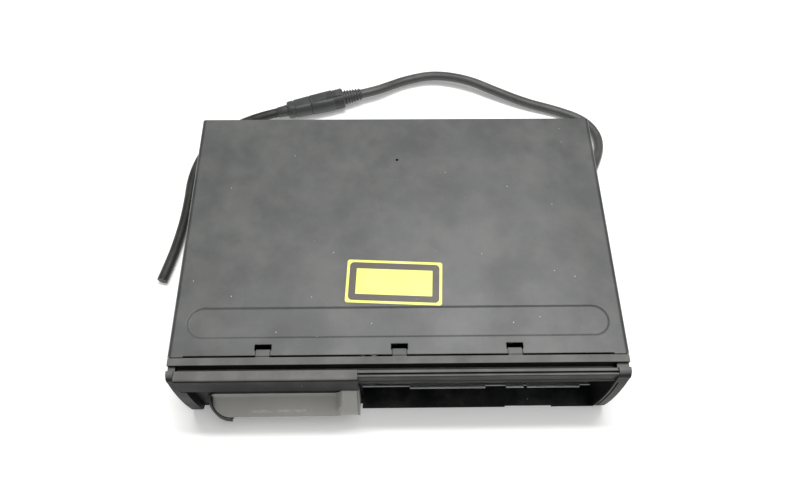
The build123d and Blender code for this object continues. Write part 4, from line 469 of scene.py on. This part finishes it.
FINISHES = {
    "cover_steel": dict(colour=(0.092, 0.096, 0.094), roughness=0.34, pattern=cover_paint_and_fold_shade,
                        Specular_IOR_Level=0.72, edge=0.0007, grain=1300.0, relief=0.000018, smudge=0.35,
                        scratch=0.30, lint=0.8, dust=0.10, rub=0.35),
    "chassis_steel": dict(colour=(0.50, 0.51, 0.51), roughness=0.34, metallic=1.0, grain=420.0,
                          relief=0.000012, smudge=0.5, scratch=0.5, dust=0.05, edge=0.0004),
    # the film here is painted shade in the slot, with dust and painted light above it
    "bezel_plastic": dict(colour=(0.015, 0.016, 0.015), roughness=0.45, film=bezel_top_light_and_slot_shade, grain=1900.0,
                          relief=0.000030, smudge=0.4, Specular_IOR_Level=0.12, scratch=0.25, lint=0.7,
                          dust=0.10, edge=0.0004, rub=0.6),
    # the film tone here is dust and painted light from above on the door's up-facing faces
    "door_plastic": dict(colour=(0.014, 0.014, 0.015), roughness=0.40, film=(0.170, 0.166, 0.162),
                         grain=1900.0, relief=0.000024, smudge=0.5, Specular_IOR_Level=0.05, scratch=0.25,
                         lint=0.8, dust=0.10, edge=0.0004, rub=0.7),
    "grip_plastic": dict(colour=(0.340, 0.335, 0.312), roughness=0.45, pattern=grip_wear_and_facet_shade, grain=1700.0,
                         relief=0.000026, smudge=0.4, scratch=0.3, dust=0.12, edge=0.0004, rub=0.5),
    "label_print": dict(colour=(0.85, 0.80, 0.15), roughness=0.30, pattern=label_print, grain=900.0,
                        relief=0.000006, smudge=0.3, scratch=0.3, dust=0.04, edge=0.0001, rub=0.2),
    "screw_black": dict(colour=(0.035, 0.035, 0.036), roughness=0.35, metallic=0.7, edge=0.00015, rub=0.8,
                        worn=(0.35, 0.34, 0.33)),
    "screw_steel": dict(colour=(0.60, 0.60, 0.61), roughness=0.28, metallic=1.0, edge=0.00015, scratch=0.3),
    "dial_plastic": dict(colour=(0.060, 0.060, 0.062), roughness=0.42, edge=0.0002, rub=0.6),
    "button_plastic": dict(colour=(0.030, 0.030, 0.031), roughness=0.38, edge=0.0003, rub=0.6),
    "spring_steel": dict(colour=(0.55, 0.55, 0.55), roughness=0.25, metallic=1.0, edge=0.0001),
    "lever_plastic": dict(colour=(0.74, 0.73, 0.68), roughness=0.35, edge=0.0003, relief=0.000008,
                          Subsurface_Weight=0.15),
    "magazine_plastic": dict(colour=(0.008, 0.009, 0.010), roughness=0.60, Specular_IOR_Level=0.03,
                             grain=1800.0, relief=0.000026, smudge=0.4, scratch=0.35, lint=0.6, dust=0.02,
                             edge=0.0004, rub=0.15),
    "tray_plastic": dict(colour=(0.085, 0.086, 0.090), roughness=0.40, grain=1500.0, relief=0.000018,
                         edge=0.0003, rub=0.5),
    "loader_steel": dict(colour=(0.52, 0.53, 0.53), roughness=0.36, metallic=1.0, grain=420.0,
                         relief=0.000012, smudge=0.5, scratch=0.5, edge=0.0003),
    "damper_rubber": dict(colour=(0.022, 0.022, 0.023), roughness=0.75, grain=900.0, relief=0.00004,
                          edge=0.0003),
    "gear_plastic": dict(colour=(0.80, 0.79, 0.73), roughness=0.36, edge=0.0001, relief=0.000008,
                         Subsurface_Weight=0.2),
    "motor_steel": dict(colour=(0.66, 0.66, 0.65), roughness=0.26, metallic=1.0, edge=0.0003, scratch=0.4),
    "deck_steel": dict(colour=(0.50, 0.51, 0.52), roughness=0.33, metallic=1.0, grain=420.0,
                       relief=0.000012, smudge=0.5, scratch=0.5, edge=0.0003),
    "turntable_plastic": dict(colour=(0.040, 0.040, 0.041), roughness=0.40, edge=0.0003, rub=0.5),
    "pickup_metal": dict(colour=(0.42, 0.42, 0.43), roughness=0.45, metallic=1.0, grain=1100.0,
                         relief=0.00005, edge=0.0003),
    "lens_glass": dict(colour=(0.45, 0.55, 0.85), roughness=0.04, edge=0.0001, smudge=0.05, scratch=0.0,
                       dust=0.0, relief=0.0, Transmission_Weight=0.6, IOR=1.5),
    "board_laminate": dict(colour=(0.03, 0.13, 0.05), roughness=0.32, pattern=laminate_tracks, edge=0.0002,
                           relief=0.00001),
    "chip_plastic": dict(colour=(0.022, 0.022, 0.023), roughness=0.52, edge=0.0001, grain=2200.0),
    "capacitor_sleeve": dict(colour=(0.020, 0.032, 0.095), roughness=0.28, edge=0.0002, smudge=0.2),
    "lead_jacket": dict(colour=(0.062, 0.065, 0.062), roughness=0.36, edge=0.0002, grain=1300.0,
                        relief=0.00003, lint=0.4, smudge=0.4, smudge_scale=60.0, dust=0.14, scratch=0.25),
    "plug_plastic": dict(colour=(0.052, 0.053, 0.054), roughness=0.34, edge=0.0003, grain=1500.0,
                         relief=0.00002, rub=0.7, dust=0.10, lint=0.3),
    "tail_sheath": dict(colour=(0.022, 0.023, 0.020), roughness=0.46, edge=0.0002, grain=1100.0,
                        relief=0.00003, smudge=0.5, smudge_scale=70.0, dust=0.12, lint=0.3),
}
MATERIALS = {name: finish(name, **values) for name, values in FINISHES.items()}


def dress(obj, name):
    """Gives a piece its finish, also as the record's slot."""
    obj.data.materials.clear()
    obj.data.materials.append(MATERIALS[name])
    return obj


for part in frame["record"]["subparts"]:
    dress(NODES[part["node"]], part["material_slot"])


# Pieces made here

SHARP_DEG = 35


def add_mesh(name, points, faces, smooth=True):
    """An object from points and faces, in the frame."""
    mesh = bpy.data.meshes.new(name)
    mesh.from_pydata([tuple(p) for p in points], [], faces)
    mesh.shade_smooth() if smooth else mesh.shade_flat()
    return added(name, mesh)


def outward(obj):
    """The object with its faces turned outwards."""
    whole = bmesh.new()
    whole.from_mesh(obj.data)
    bmesh.ops.recalc_face_normals(whole, faces=whole.faces)
    whole.to_mesh(obj.data)
    whole.free()
    return obj


def prism(name, near, far):
    """A flat-faced body between two outlines that have the same count of points."""
    count = len(near)
    faces = [tuple(range(count)), tuple(range(2 * count - 1, count - 1, -1))]
    faces += [(k, k + count, (k + 1) % count + count, (k + 1) % count) for k in range(count)]
    return outward(add_mesh(name, near + far, faces, smooth=False))


def settled(obj):
    """The object with its modifiers made into its mesh."""
    plain = bpy.data.meshes.new_from_object(obj.evaluated_get(bpy.context.evaluated_depsgraph_get()))
    obj.modifiers.clear()
    obj.data = plain
    return obj


def walled(obj, thickness, offset):
    """The object with a wall given to its surface."""
    wall = obj.modifiers.new("wall", "SOLIDIFY")
    wall.thickness = thickness
    wall.offset = offset
    return obj


def rounded(obj, width, segments, sharper_than_deg=30):
    """The object with its sharp edges rounded, as a plain mesh."""
    bevel = obj.modifiers.new("rounding", "BEVEL")
    bevel.width = width
    bevel.segments = segments
    bevel.limit_method = "ANGLE"
    bevel.angle_limit = math.radians(sharper_than_deg)
    return settled(obj)


def stand_for(obj, finish_name, body, *nodes):
    """A finished piece that rides on a body, in the place of its CAD nodes."""
    dress(obj, finish_name)
    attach(obj, body)
    if nodes:
        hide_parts(*nodes)
    return obj


def eased(value, start, end):
    """0 before the start, 1 after the end, and a smooth step between."""
    t = min(1.0, max(0.0, (value - start) / (end - start)))
    return t * t * (3 - 2 * t)


# Finger grip: a hollowed shelf with a rounded left corner, which sweeps up into a facet at its right end

GRIP_LEFT, GRIP_RIGHT = -0.1118, -0.0231
GRIP_WALL = back(-0.0104)
GRIP_LIP = back(-0.0228)
GRIP_CORNER = 0.0122
GRIP_BACK_Z, GRIP_LIP_Z = 0.0222, 0.0186
GRIP_SHELL = 0.0021
GRIP_COVE = 0.0022
GRIP_LEFT_DROP, GRIP_LEFT_ROUND = 0.0030, 0.0045
FACET_START, FACET_SWEEP = GRIP_RIGHT - 0.0150, 0.0060
FACET_LINE = ((back(-0.0138), 0.0404), (back(-0.0214), 0.0215), (back(-0.0222), 0.0186))
FACET_KNEE = 0.82
CORNER_COLUMNS, SHELF_COLUMNS, FACET_COLUMNS = 28, 12, 24
GRIP_ROWS = 26
GRIP_END_WALL = 0.0016
GRIP_END_UNDER = ((back(-0.0219), 0.0168), (back(-0.0146), 0.0160), (GRIP_WALL, 0.0138))


def lip_of(x):
    """The Y of the grip's front edge, round its left corner."""
    inside = GRIP_CORNER - (x - GRIP_LEFT)
    if inside <= 0:
        return GRIP_LIP
    return GRIP_LIP + GRIP_CORNER - math.sqrt(max(0.0, GRIP_CORNER ** 2 - inside ** 2))


def grip_point(x, s):
    """A point of the grip's upper face, from the door at s = 0 to the lip at s = 1."""
    lip = lip_of(x)
    from_left = min(1.0, (x - GRIP_LEFT) / GRIP_LEFT_ROUND)
    drop = GRIP_LEFT_DROP * (1 - math.sqrt(1 - (1 - from_left) ** 2))
    rise = GRIP_BACK_Z - drop - GRIP_LIP_Z
    shelf = Vector((x, GRIP_WALL + (lip - GRIP_WALL) * s,
                    GRIP_LIP_Z + rise * (1 - s) ** 1.6 + GRIP_COVE * (1 - s) ** 14))
    top, knee, foot = [Vector((x, *p)) for p in FACET_LINE]
    if s < FACET_KNEE:
        facet = top.lerp(knee, s / FACET_KNEE)
    else:
        facet = knee.lerp(foot, (s - FACET_KNEE) / (1 - FACET_KNEE))
    return shelf.lerp(facet, eased(x, FACET_START, FACET_START + FACET_SWEEP))


def finger_grip():
    """The grip's shell, with a closed wall at its right end."""
    corner = [GRIP_LEFT + GRIP_CORNER * (1 - math.cos(math.pi / 2 * k / CORNER_COLUMNS))
              for k in range(CORNER_COLUMNS)]
    shelf_start = GRIP_LEFT + GRIP_CORNER
    shelf = [shelf_start + (FACET_START - shelf_start) * k / SHELF_COLUMNS for k in range(SHELF_COLUMNS)]
    facet_width = GRIP_RIGHT - 0.0003 - FACET_START
    facet = [FACET_START + facet_width * k / FACET_COLUMNS for k in range(FACET_COLUMNS + 1)]
    columns = corner + shelf + facet
    rows = GRIP_ROWS
    points = [grip_point(x, k / (rows - 1)) for x in columns for k in range(rows)]
    faces = [(i * rows + k, i * rows + k + 1, (i + 1) * rows + k + 1, (i + 1) * rows + k)
             for i in range(len(columns) - 1) for k in range(rows - 1)]
    shell = rounded(walled(add_mesh("grip_shell", points, faces), GRIP_SHELL, -1.0), 0.00045, 3, 50)
    outline = ((GRIP_WALL, FACET_LINE[0][1] - 0.0001), *FACET_LINE, *GRIP_END_UNDER)
    inner, outer = [[(x, y, z) for y, z in outline] for x in (GRIP_RIGHT - GRIP_END_WALL, GRIP_RIGHT)]
    return merged("finger_grip", [shell, rounded(prism("grip_end", inner, outer), 0.0004, 2)])


def merged(name, objects):
    """Several objects as one mesh."""
    whole = bmesh.new()
    for obj in objects:
        whole.from_mesh(obj.data)
        bpy.data.objects.remove(obj)
    mesh = bpy.data.meshes.new(name)
    whole.to_mesh(mesh)
    whole.free()
    return added(name, mesh)


RIM_TOP = 0.0174
RIM_DROP, RIM_LEAST_DROP = 0.0042, 0.0004
RIM_INSIDE, RIM_OUTSIDE = -0.0005, 0.0006
RIM_STEPS, RIM_CORNER_STEPS = 32, 26
RIM_PAST_CORNER = 0.0014
RIM_WALL = 0.0009


def corner_wall():
    """The dark turned-down rim round the grip's left corner, which fades out along the lip."""
    centre = Vector((GRIP_LEFT + GRIP_CORNER, GRIP_LIP + GRIP_CORNER))
    points = []
    for k in range(RIM_STEPS + 1):
        angle = math.pi * (1 + 0.5 * min(1.0, k / RIM_CORNER_STEPS))
        past = RIM_PAST_CORNER * max(0.0, (k - RIM_CORNER_STEPS) / (RIM_STEPS - RIM_CORNER_STEPS))
        drop = RIM_DROP * eased(k, 0, 12) * (1 - eased(k, 20, RIM_STEPS)) + RIM_LEAST_DROP
        for reach, z in ((RIM_INSIDE, RIM_TOP), (RIM_OUTSIDE, RIM_TOP - drop)):
            radius = GRIP_CORNER + reach
            x, y = centre.x + radius * math.cos(angle), centre.y + radius * math.sin(angle)
            points.append((x + past, y, z))
    faces = [(2 * k, 2 * k + 1, 2 * k + 3, 2 * k + 2) for k in range(RIM_STEPS)]
    return settled(walled(add_mesh("grip_rim", points, faces), RIM_WALL, 0.0))


stand_for(finger_grip(), "grip_plastic", "door", "door_grip")
stand_for(corner_wall(), "door_plastic", "door")


# Connector on the lead: boot, plug, latch, socket and nose, turned about the plug's axis

BOOT_END, PLUG_FACE, SOCKET_END, NOSE_END = 0.014, 0.040, 0.058, PLUG_LENGTH


def turned(name, profile, sides=48, flat_top=None):
    """A closed body about the plug's axis from distances and radii, cut flat above a height."""
    points, faces = [], []
    for distance, radius in profile:
        for k in range(sides):
            angle = 2 * math.pi * k / sides
            height = radius * math.sin(angle)
            if flat_top is not None:
                height = min(height, flat_top)
            points.append(plug_point(distance, height, radius * math.cos(angle)))
    for ring in range(len(profile) - 1):
        for k in range(sides):
            a, b = ring * sides + k, ring * sides + (k + 1) % sides
            faces.append((a, b, b + sides, a + sides))
    last = (len(profile) - 1) * sides
    faces += [tuple(range(sides - 1, -1, -1)), tuple(range(last, last + sides))]
    made = outward(add_mesh(name, points, faces))
    made.data.set_sharp_from_angle(angle=math.radians(SHARP_DEG))
    return made


def ribs(start, end, count, radius_start, radius_end, depth, share=0.5, soft=0.00012):
    """The profile of rings with gaps between, from one distance to another."""
    profile = []
    step = (end - start) / count
    for k in range(count):
        here = start + step * k
        radius = radius_start + (radius_end - radius_start) * (k + 0.5) / count
        top = here + step * share
        profile += [(here, radius - depth), (here + soft, radius - soft / 2), (here + 2 * soft, radius),
                    (top - 2 * soft, radius), (top - soft, radius - soft / 2), (top, radius - depth),
                    (here + step - soft / 4, radius - depth)]
    return profile


plug_shell = turned("plug_shell", [
    (BOOT_END, 0.0050), (BOOT_END + 0.0001, 0.0068), (BOOT_END + 0.0007, 0.0075),
    *ribs(BOOT_END + 0.0010, BOOT_END + 0.0080, 6, 0.0079, 0.0078, 0.0005),
    (0.0224, 0.0078), (0.0228, 0.0079), (0.0310, 0.0077), (PLUG_FACE - 0.0006, 0.0074),
    (PLUG_FACE - 0.0001, 0.0071)], flat_top=0.0064)
socket_shell = turned("socket_shell", [
    (PLUG_FACE + 0.0001, 0.0069), (PLUG_FACE + 0.0005, 0.0073), (0.0500, 0.0069), (0.0522, 0.0068),
    (0.0525, 0.0063), (0.0530, 0.0063), (0.0533, 0.0067), (SOCKET_END - 0.0012, 0.0065),
    (SOCKET_END - 0.0004, 0.0061), (SOCKET_END, 0.0052), (SOCKET_END + 0.0002, 0.0045), (0.0600, 0.0043),
    (NOSE_END - 0.0004, 0.0039), (NOSE_END, 0.0036)], flat_top=0.0060)
boot = turned("boot_ribbed", [
    (0.0, 0.0038), (0.0003, 0.0042),
    *ribs(0.0006, BOOT_END - 0.0004, 6, 0.0045, 0.0058, 0.0008, 0.62, 0.0003),
    (BOOT_END - 0.0001, 0.0046)])

LATCH_HALF_WIDTH, LATCH_BASE = 0.0026, 0.0058
LATCH_RIBS, LATCH_RIB_START, LATCH_RIB_STEP = 5, 0.0206, 0.0014
LATCH_RIB = ((0.0, 0.0010), (0.0003, 0.0015), (0.0007, 0.0015), (0.0010, 0.0010))


def latch_bar():
    """The sliding latch: a long bar on the flat, with a thumb rise and cross ribs."""
    outline = [(0.0155, 0.0), (0.0157, 0.0010), (0.0166, 0.0014), (0.0200, 0.0014)]
    outline += [(LATCH_RIB_START + LATCH_RIB_STEP * k + along, height)
                for k in range(LATCH_RIBS) for along, height in LATCH_RIB]
    outline += [(0.0290, 0.0012), (0.0370, 0.0010), (0.0384, 0.0004), (0.0386, 0.0)]
    near, far = [[plug_point(d, LATCH_BASE + h, side) for d, h in outline]
                 for side in (-LATCH_HALF_WIDTH, LATCH_HALF_WIDTH)]
    return rounded(prism("latch_bar", near, far), 0.00015, 2)


stand_for(boot, "plug_plastic", "chassis", "plug_boot")
stand_for(plug_shell, "plug_plastic", "chassis", "plug_body")
latch = stand_for(latch_bar(), "plug_plastic", "chassis", "plug_latch")
stand_for(socket_shell, "plug_plastic", "chassis", "inline_socket")


# Screws and threads, by geometry nodes

def geometry_tree(name, sizes):
    """An empty geometry tree with a mesh in, named sizes, a material and a mesh out."""
    tree = bpy.data.node_groups.new(name, "GeometryNodeTree")
    tree.interface.new_socket(name="Geometry", in_out="INPUT", socket_type="NodeSocketGeometry")
    for label, value in sizes.items():
        socket = tree.interface.new_socket(name=label, in_out="INPUT", socket_type="NodeSocketFloat")
        socket.default_value = value
    tree.interface.new_socket(name="Finish", in_out="INPUT", socket_type="NodeSocketMaterial")
    tree.interface.new_socket(name="Geometry", in_out="OUTPUT", socket_type="NodeSocketGeometry")
    return tree, tree.nodes.new("NodeGroupInput").outputs, tree.nodes.new("NodeGroupOutput").inputs


def lifted(tree, geometry, height):
    """Geometry moved up by a socket's value."""
    shift = new_node(tree, "ShaderNodeCombineXYZ")
    join(tree, height, shift.inputs["Z"])
    moved = new_node(tree, "GeometryNodeTransform")
    join(tree, geometry, moved.inputs["Geometry"])
    join(tree, shift.outputs[0], moved.inputs["Translation"])
    return moved.outputs["Geometry"]


def placed_along(tree, given, out, *shapes):
    """The shapes together on each point, along its own direction, made real and given their finish."""
    whole = new_node(tree, "GeometryNodeJoinGeometry")
    for shape in shapes:
        join(tree, shape, whole.inputs["Geometry"])
    on_points = new_node(tree, "GeometryNodeInstanceOnPoints")
    join(tree, given["Geometry"], on_points.inputs["Points"])
    join(tree, whole.outputs["Geometry"], on_points.inputs["Instance"])
    direction = new_node(tree, "GeometryNodeInputNamedAttribute", {"Name": "direction"},
                         data_type="FLOAT_VECTOR")
    aligned = new_node(tree, "FunctionNodeAlignRotationToVector")
    join(tree, direction.outputs["Attribute"], aligned.inputs["Vector"])
    join(tree, aligned.outputs["Rotation"], on_points.inputs["Rotation"])
    real = new_node(tree, "GeometryNodeRealizeInstances")
    join(tree, on_points.outputs["Instances"], real.inputs["Geometry"])
    painted = new_node(tree, "GeometryNodeSetMaterial")
    join(tree, real.outputs["Geometry"], painted.inputs["Geometry"])
    join(tree, given["Finish"], painted.inputs["Material"])
    join(tree, painted.outputs["Geometry"], out["Geometry"])


def cross_screw_tree():
    """Countersunk cross-head screws on the points of a mesh."""
    tree, given, out = geometry_tree("cross_screws", {
        "Head Radius": 0.0024, "Shank Radius": 0.00125, "Length": 0.005,
        "Slot Length": 0.0028, "Slot Width": 0.0006, "Slot Depth": 0.0011})
    rise = math_node(tree, "SUBTRACT", given["Head Radius"], given["Shank Radius"])
    head = new_node(tree, "GeometryNodeMeshCone", {"Vertices": 32})
    join(tree, given["Shank Radius"], head.inputs["Radius Top"])
    join(tree, given["Head Radius"], head.inputs["Radius Bottom"])
    join(tree, rise, head.inputs["Depth"])
    shank = new_node(tree, "GeometryNodeMeshCylinder", {"Vertices": 20})
    join(tree, given["Shank Radius"], shank.inputs["Radius"])
    join(tree, given["Length"], shank.inputs["Depth"])
    cross_cut = new_node(tree, "GeometryNodeMeshBoolean", operation="DIFFERENCE")
    join(tree, head.outputs["Mesh"], cross_cut.inputs["Mesh 1"])
    for turn in range(2):
        size = new_node(tree, "ShaderNodeCombineXYZ")
        join(tree, given["Slot Length"], size.inputs[turn])
        join(tree, given["Slot Width"], size.inputs[1 - turn])
        join(tree, product(tree, given["Slot Depth"], 2.0), size.inputs[2])
        slot = new_node(tree, "GeometryNodeMeshCube")
        join(tree, size.outputs[0], slot.inputs["Size"])
        join(tree, slot.outputs["Mesh"], cross_cut.inputs["Mesh 2"])
    shaft = lifted(tree, shank.outputs["Mesh"], product(tree, given["Length"], 0.5))
    placed_along(tree, given, out, cross_cut.outputs["Mesh"], shaft)
    return tree


THREADED_SHARE = 0.96


def thread_tree():
    """A threaded rod that stands on each point of a mesh. The thread stops short of both ends."""
    tree, given, out = geometry_tree("threaded_rod", {
        "Radius": 0.0025, "Thread Depth": 0.0004, "Pitch": 0.002, "Length": 0.05})
    root = math_node(tree, "SUBTRACT", given["Radius"], given["Thread Depth"])
    core = new_node(tree, "GeometryNodeMeshCylinder", {"Vertices": 24})
    join(tree, root, core.inputs["Radius"])
    join(tree, given["Length"], core.inputs["Depth"])
    spiral = new_node(tree, "GeometryNodeCurveSpiral", {"Resolution": 24})
    run = product(tree, given["Length"], THREADED_SHARE)
    for label, socket in (("Start Radius", root), ("End Radius", root), ("Height", run),
                          ("Rotations", math_node(tree, "DIVIDE", run, given["Pitch"]))):
        join(tree, socket, spiral.inputs[label])
    margin = product(tree, given["Length"], (1 - THREADED_SHARE) / 2)
    tooth = new_node(tree, "GeometryNodeCurvePrimitiveCircle", {"Resolution": 4})
    join(tree, given["Thread Depth"], tooth.inputs["Radius"])
    swept = new_node(tree, "GeometryNodeCurveToMesh", {"Fill Caps": True})
    join(tree, lifted(tree, spiral.outputs["Curve"], margin), swept.inputs["Curve"])
    join(tree, tooth.outputs["Curve"], swept.inputs["Profile Curve"])
    rod = lifted(tree, core.outputs["Mesh"], product(tree, given["Length"], 0.5))
    placed_along(tree, given, out, rod, swept.outputs["Mesh"])
    return tree


def grown(name, tree, places, finish_name, body, node, **sizes):
    """A piece that a geometry tree grows on places, each a point and a direction, for one CAD node."""
    made = add_mesh(name, [point for point, _ in places], [])
    directions = made.data.attributes.new("direction", "FLOAT_VECTOR", "POINT")
    for k, (_, direction) in enumerate(places):
        directions.data[k].vector = direction
    modifier = made.modifiers.new("growth", "NODES")
    modifier.node_group = tree
    sockets = {item.name: item.identifier for item in tree.interface.items_tree if item.in_out == "INPUT"}
    for label, value in sizes.items():
        modifier[sockets[label.replace("_", " ")]] = value
    modifier[sockets["Finish"]] = MATERIALS[finish_name]
    settled(made)
    made.data.set_sharp_from_angle(angle=math.radians(SHARP_DEG))
    return stand_for(made, finish_name, body, node)


CROSS_SCREWS = cross_screw_tree()
THREADED_ROD = thread_tree()
SIDE = 0.1285
COVER_SCREW_SETBACKS, COVER_SCREW_Z = (0.014, 0.154), 0.0070
BASE_SCREW_SETBACKS, BASE_SCREW_XS = (0.022, 0.120), (-0.004, 0.112)
cover_places = [((side * SIDE, back(setback), COVER_SCREW_Z), (-side, 0, 0))
                for side in (-1, 1) for setback in COVER_SCREW_SETBACKS]
base_places = [((x, back(setback), 0.0), (0, 0, 1)) for setback in BASE_SCREW_SETBACKS for x in BASE_SCREW_XS]
grown("cover_screw_set", CROSS_SCREWS, cover_places, "screw_black", "chassis", "cover_screws")
grown("base_screw_set", CROSS_SCREWS, base_places, "screw_steel", "chassis", "base_screws")


def rod_ends(node, axis):
    """The middle of a rod's low end, and its length along an axis."""
    low, high = [Vector(corner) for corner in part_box(node)]
    start = (low + high) / 2
    start[axis] = low[axis]
    return tuple(start), high[axis] - low[axis]


for name, node, body, axis, radius, depth, pitch in (
        ("lift_thread", "lift_screw", "lift_shaft", 2, 0.0025, 0.00035, 0.0020),
        ("clamp_thread", "clamp_screw", "clamp_shaft", 2, 0.0025, 0.00035, 0.0020),
        ("sled_thread", "sled_screw", "sled_drive", 1, 0.0012, 0.00022, 0.0010)):
    start, length = rod_ends(node, axis)
    direction = (0, 1, 0) if axis == 1 else (0, 0, 1)
    grown(name, THREADED_ROD, [(start, direction)], "screw_steel", body, node, Radius=radius,
          Thread_Depth=depth, Pitch=pitch, Length=length)


# Cords

for piece, slot_name, node in ((lead, "lead_jacket", "lead_cable"), (tail, "tail_sheath", "harness_tail")):
    dress(piece, slot_name)
    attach(piece, "chassis")
    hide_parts(node)


# Table and light

TABLE_REACH = 3.0
TABLE_TONE = (0.86, 0.86, 0.85)
TABLE_GLOW = 0.22
SKY_ON_THINGS, SKY_SEEN = 0.25, 1.0
MIDDLE = (0.0, 0.0, 0.03)


def table():
    """A white table that shows as plain white, with the part's shadow on it."""
    mesh = bpy.data.meshes.new("table")
    corners = [(x * TABLE_REACH, y * TABLE_REACH, 0) for x, y in ((-1, -1), (1, -1), (1, 1), (-1, 1))]
    mesh.from_pydata(corners, [], [(0, 1, 2, 3)])
    made = added("table", mesh)
    material = bpy.data.materials.new("white_table")
    material.use_nodes = True
    tree = material.node_tree
    shader = tree.nodes["Principled BSDF"]
    shader.inputs["Base Color"].default_value = (*TABLE_TONE, 1)
    shader.inputs["Roughness"].default_value = 0.9
    shader.inputs["Specular IOR Level"].default_value = 0.1
    shader.inputs["Emission Color"].default_value = (1, 1, 1, 1)
    seen = new_node(tree, "ShaderNodeLightPath").outputs
    mirrored = math_node(tree, "MAXIMUM", seen["Is Glossy Ray"], seen["Is Transmission Ray"])
    any_sight = math_node(tree, "MAXIMUM", seen["Is Camera Ray"], mirrored)
    join(tree, product(tree, any_sight, TABLE_GLOW), shader.inputs["Emission Strength"])
    mesh.materials.append(material)


table()


def lamp(name, place, aim, size, power, glossy=True):
    """A soft four-sided light, which may stay out of reflections."""
    data = bpy.data.lights.new(name, "AREA")
    data.shape = "RECTANGLE"
    data.size, data.size_y = size
    data.energy = power
    made = added(name, data)
    made.location = place
    made.rotation_euler = (Vector(aim) - Vector(place)).to_track_quat("-Z", "Y").to_euler()
    made.visible_glossy = glossy


lamp("key", (0.02, 0.29, 1.50), MIDDLE, (0.80, 0.10), 14.5, glossy=False)
lamp("panel", (0.26, 0.14, 1.55), (0.05, 0.0, 0.0), (1.40, 1.00), 13.5)

world = bpy.data.worlds.new("studio")
bpy.context.scene.world = world
world.use_nodes = True
sky = world.node_tree
background = sky.nodes["Background"]
background.inputs["Color"].default_value = (1, 1, 1, 1)
seen = new_node(sky, "ShaderNodeLightPath").outputs
white = math_node(sky, "MAXIMUM", seen["Is Camera Ray"], seen["Is Transmission Ray"])
join(sky, between(sky, white, 0.0, 1.0, SKY_ON_THINGS, SKY_SEEN), background.inputs["Strength"])

bpy.context.scene.view_settings.view_transform = "Standard"
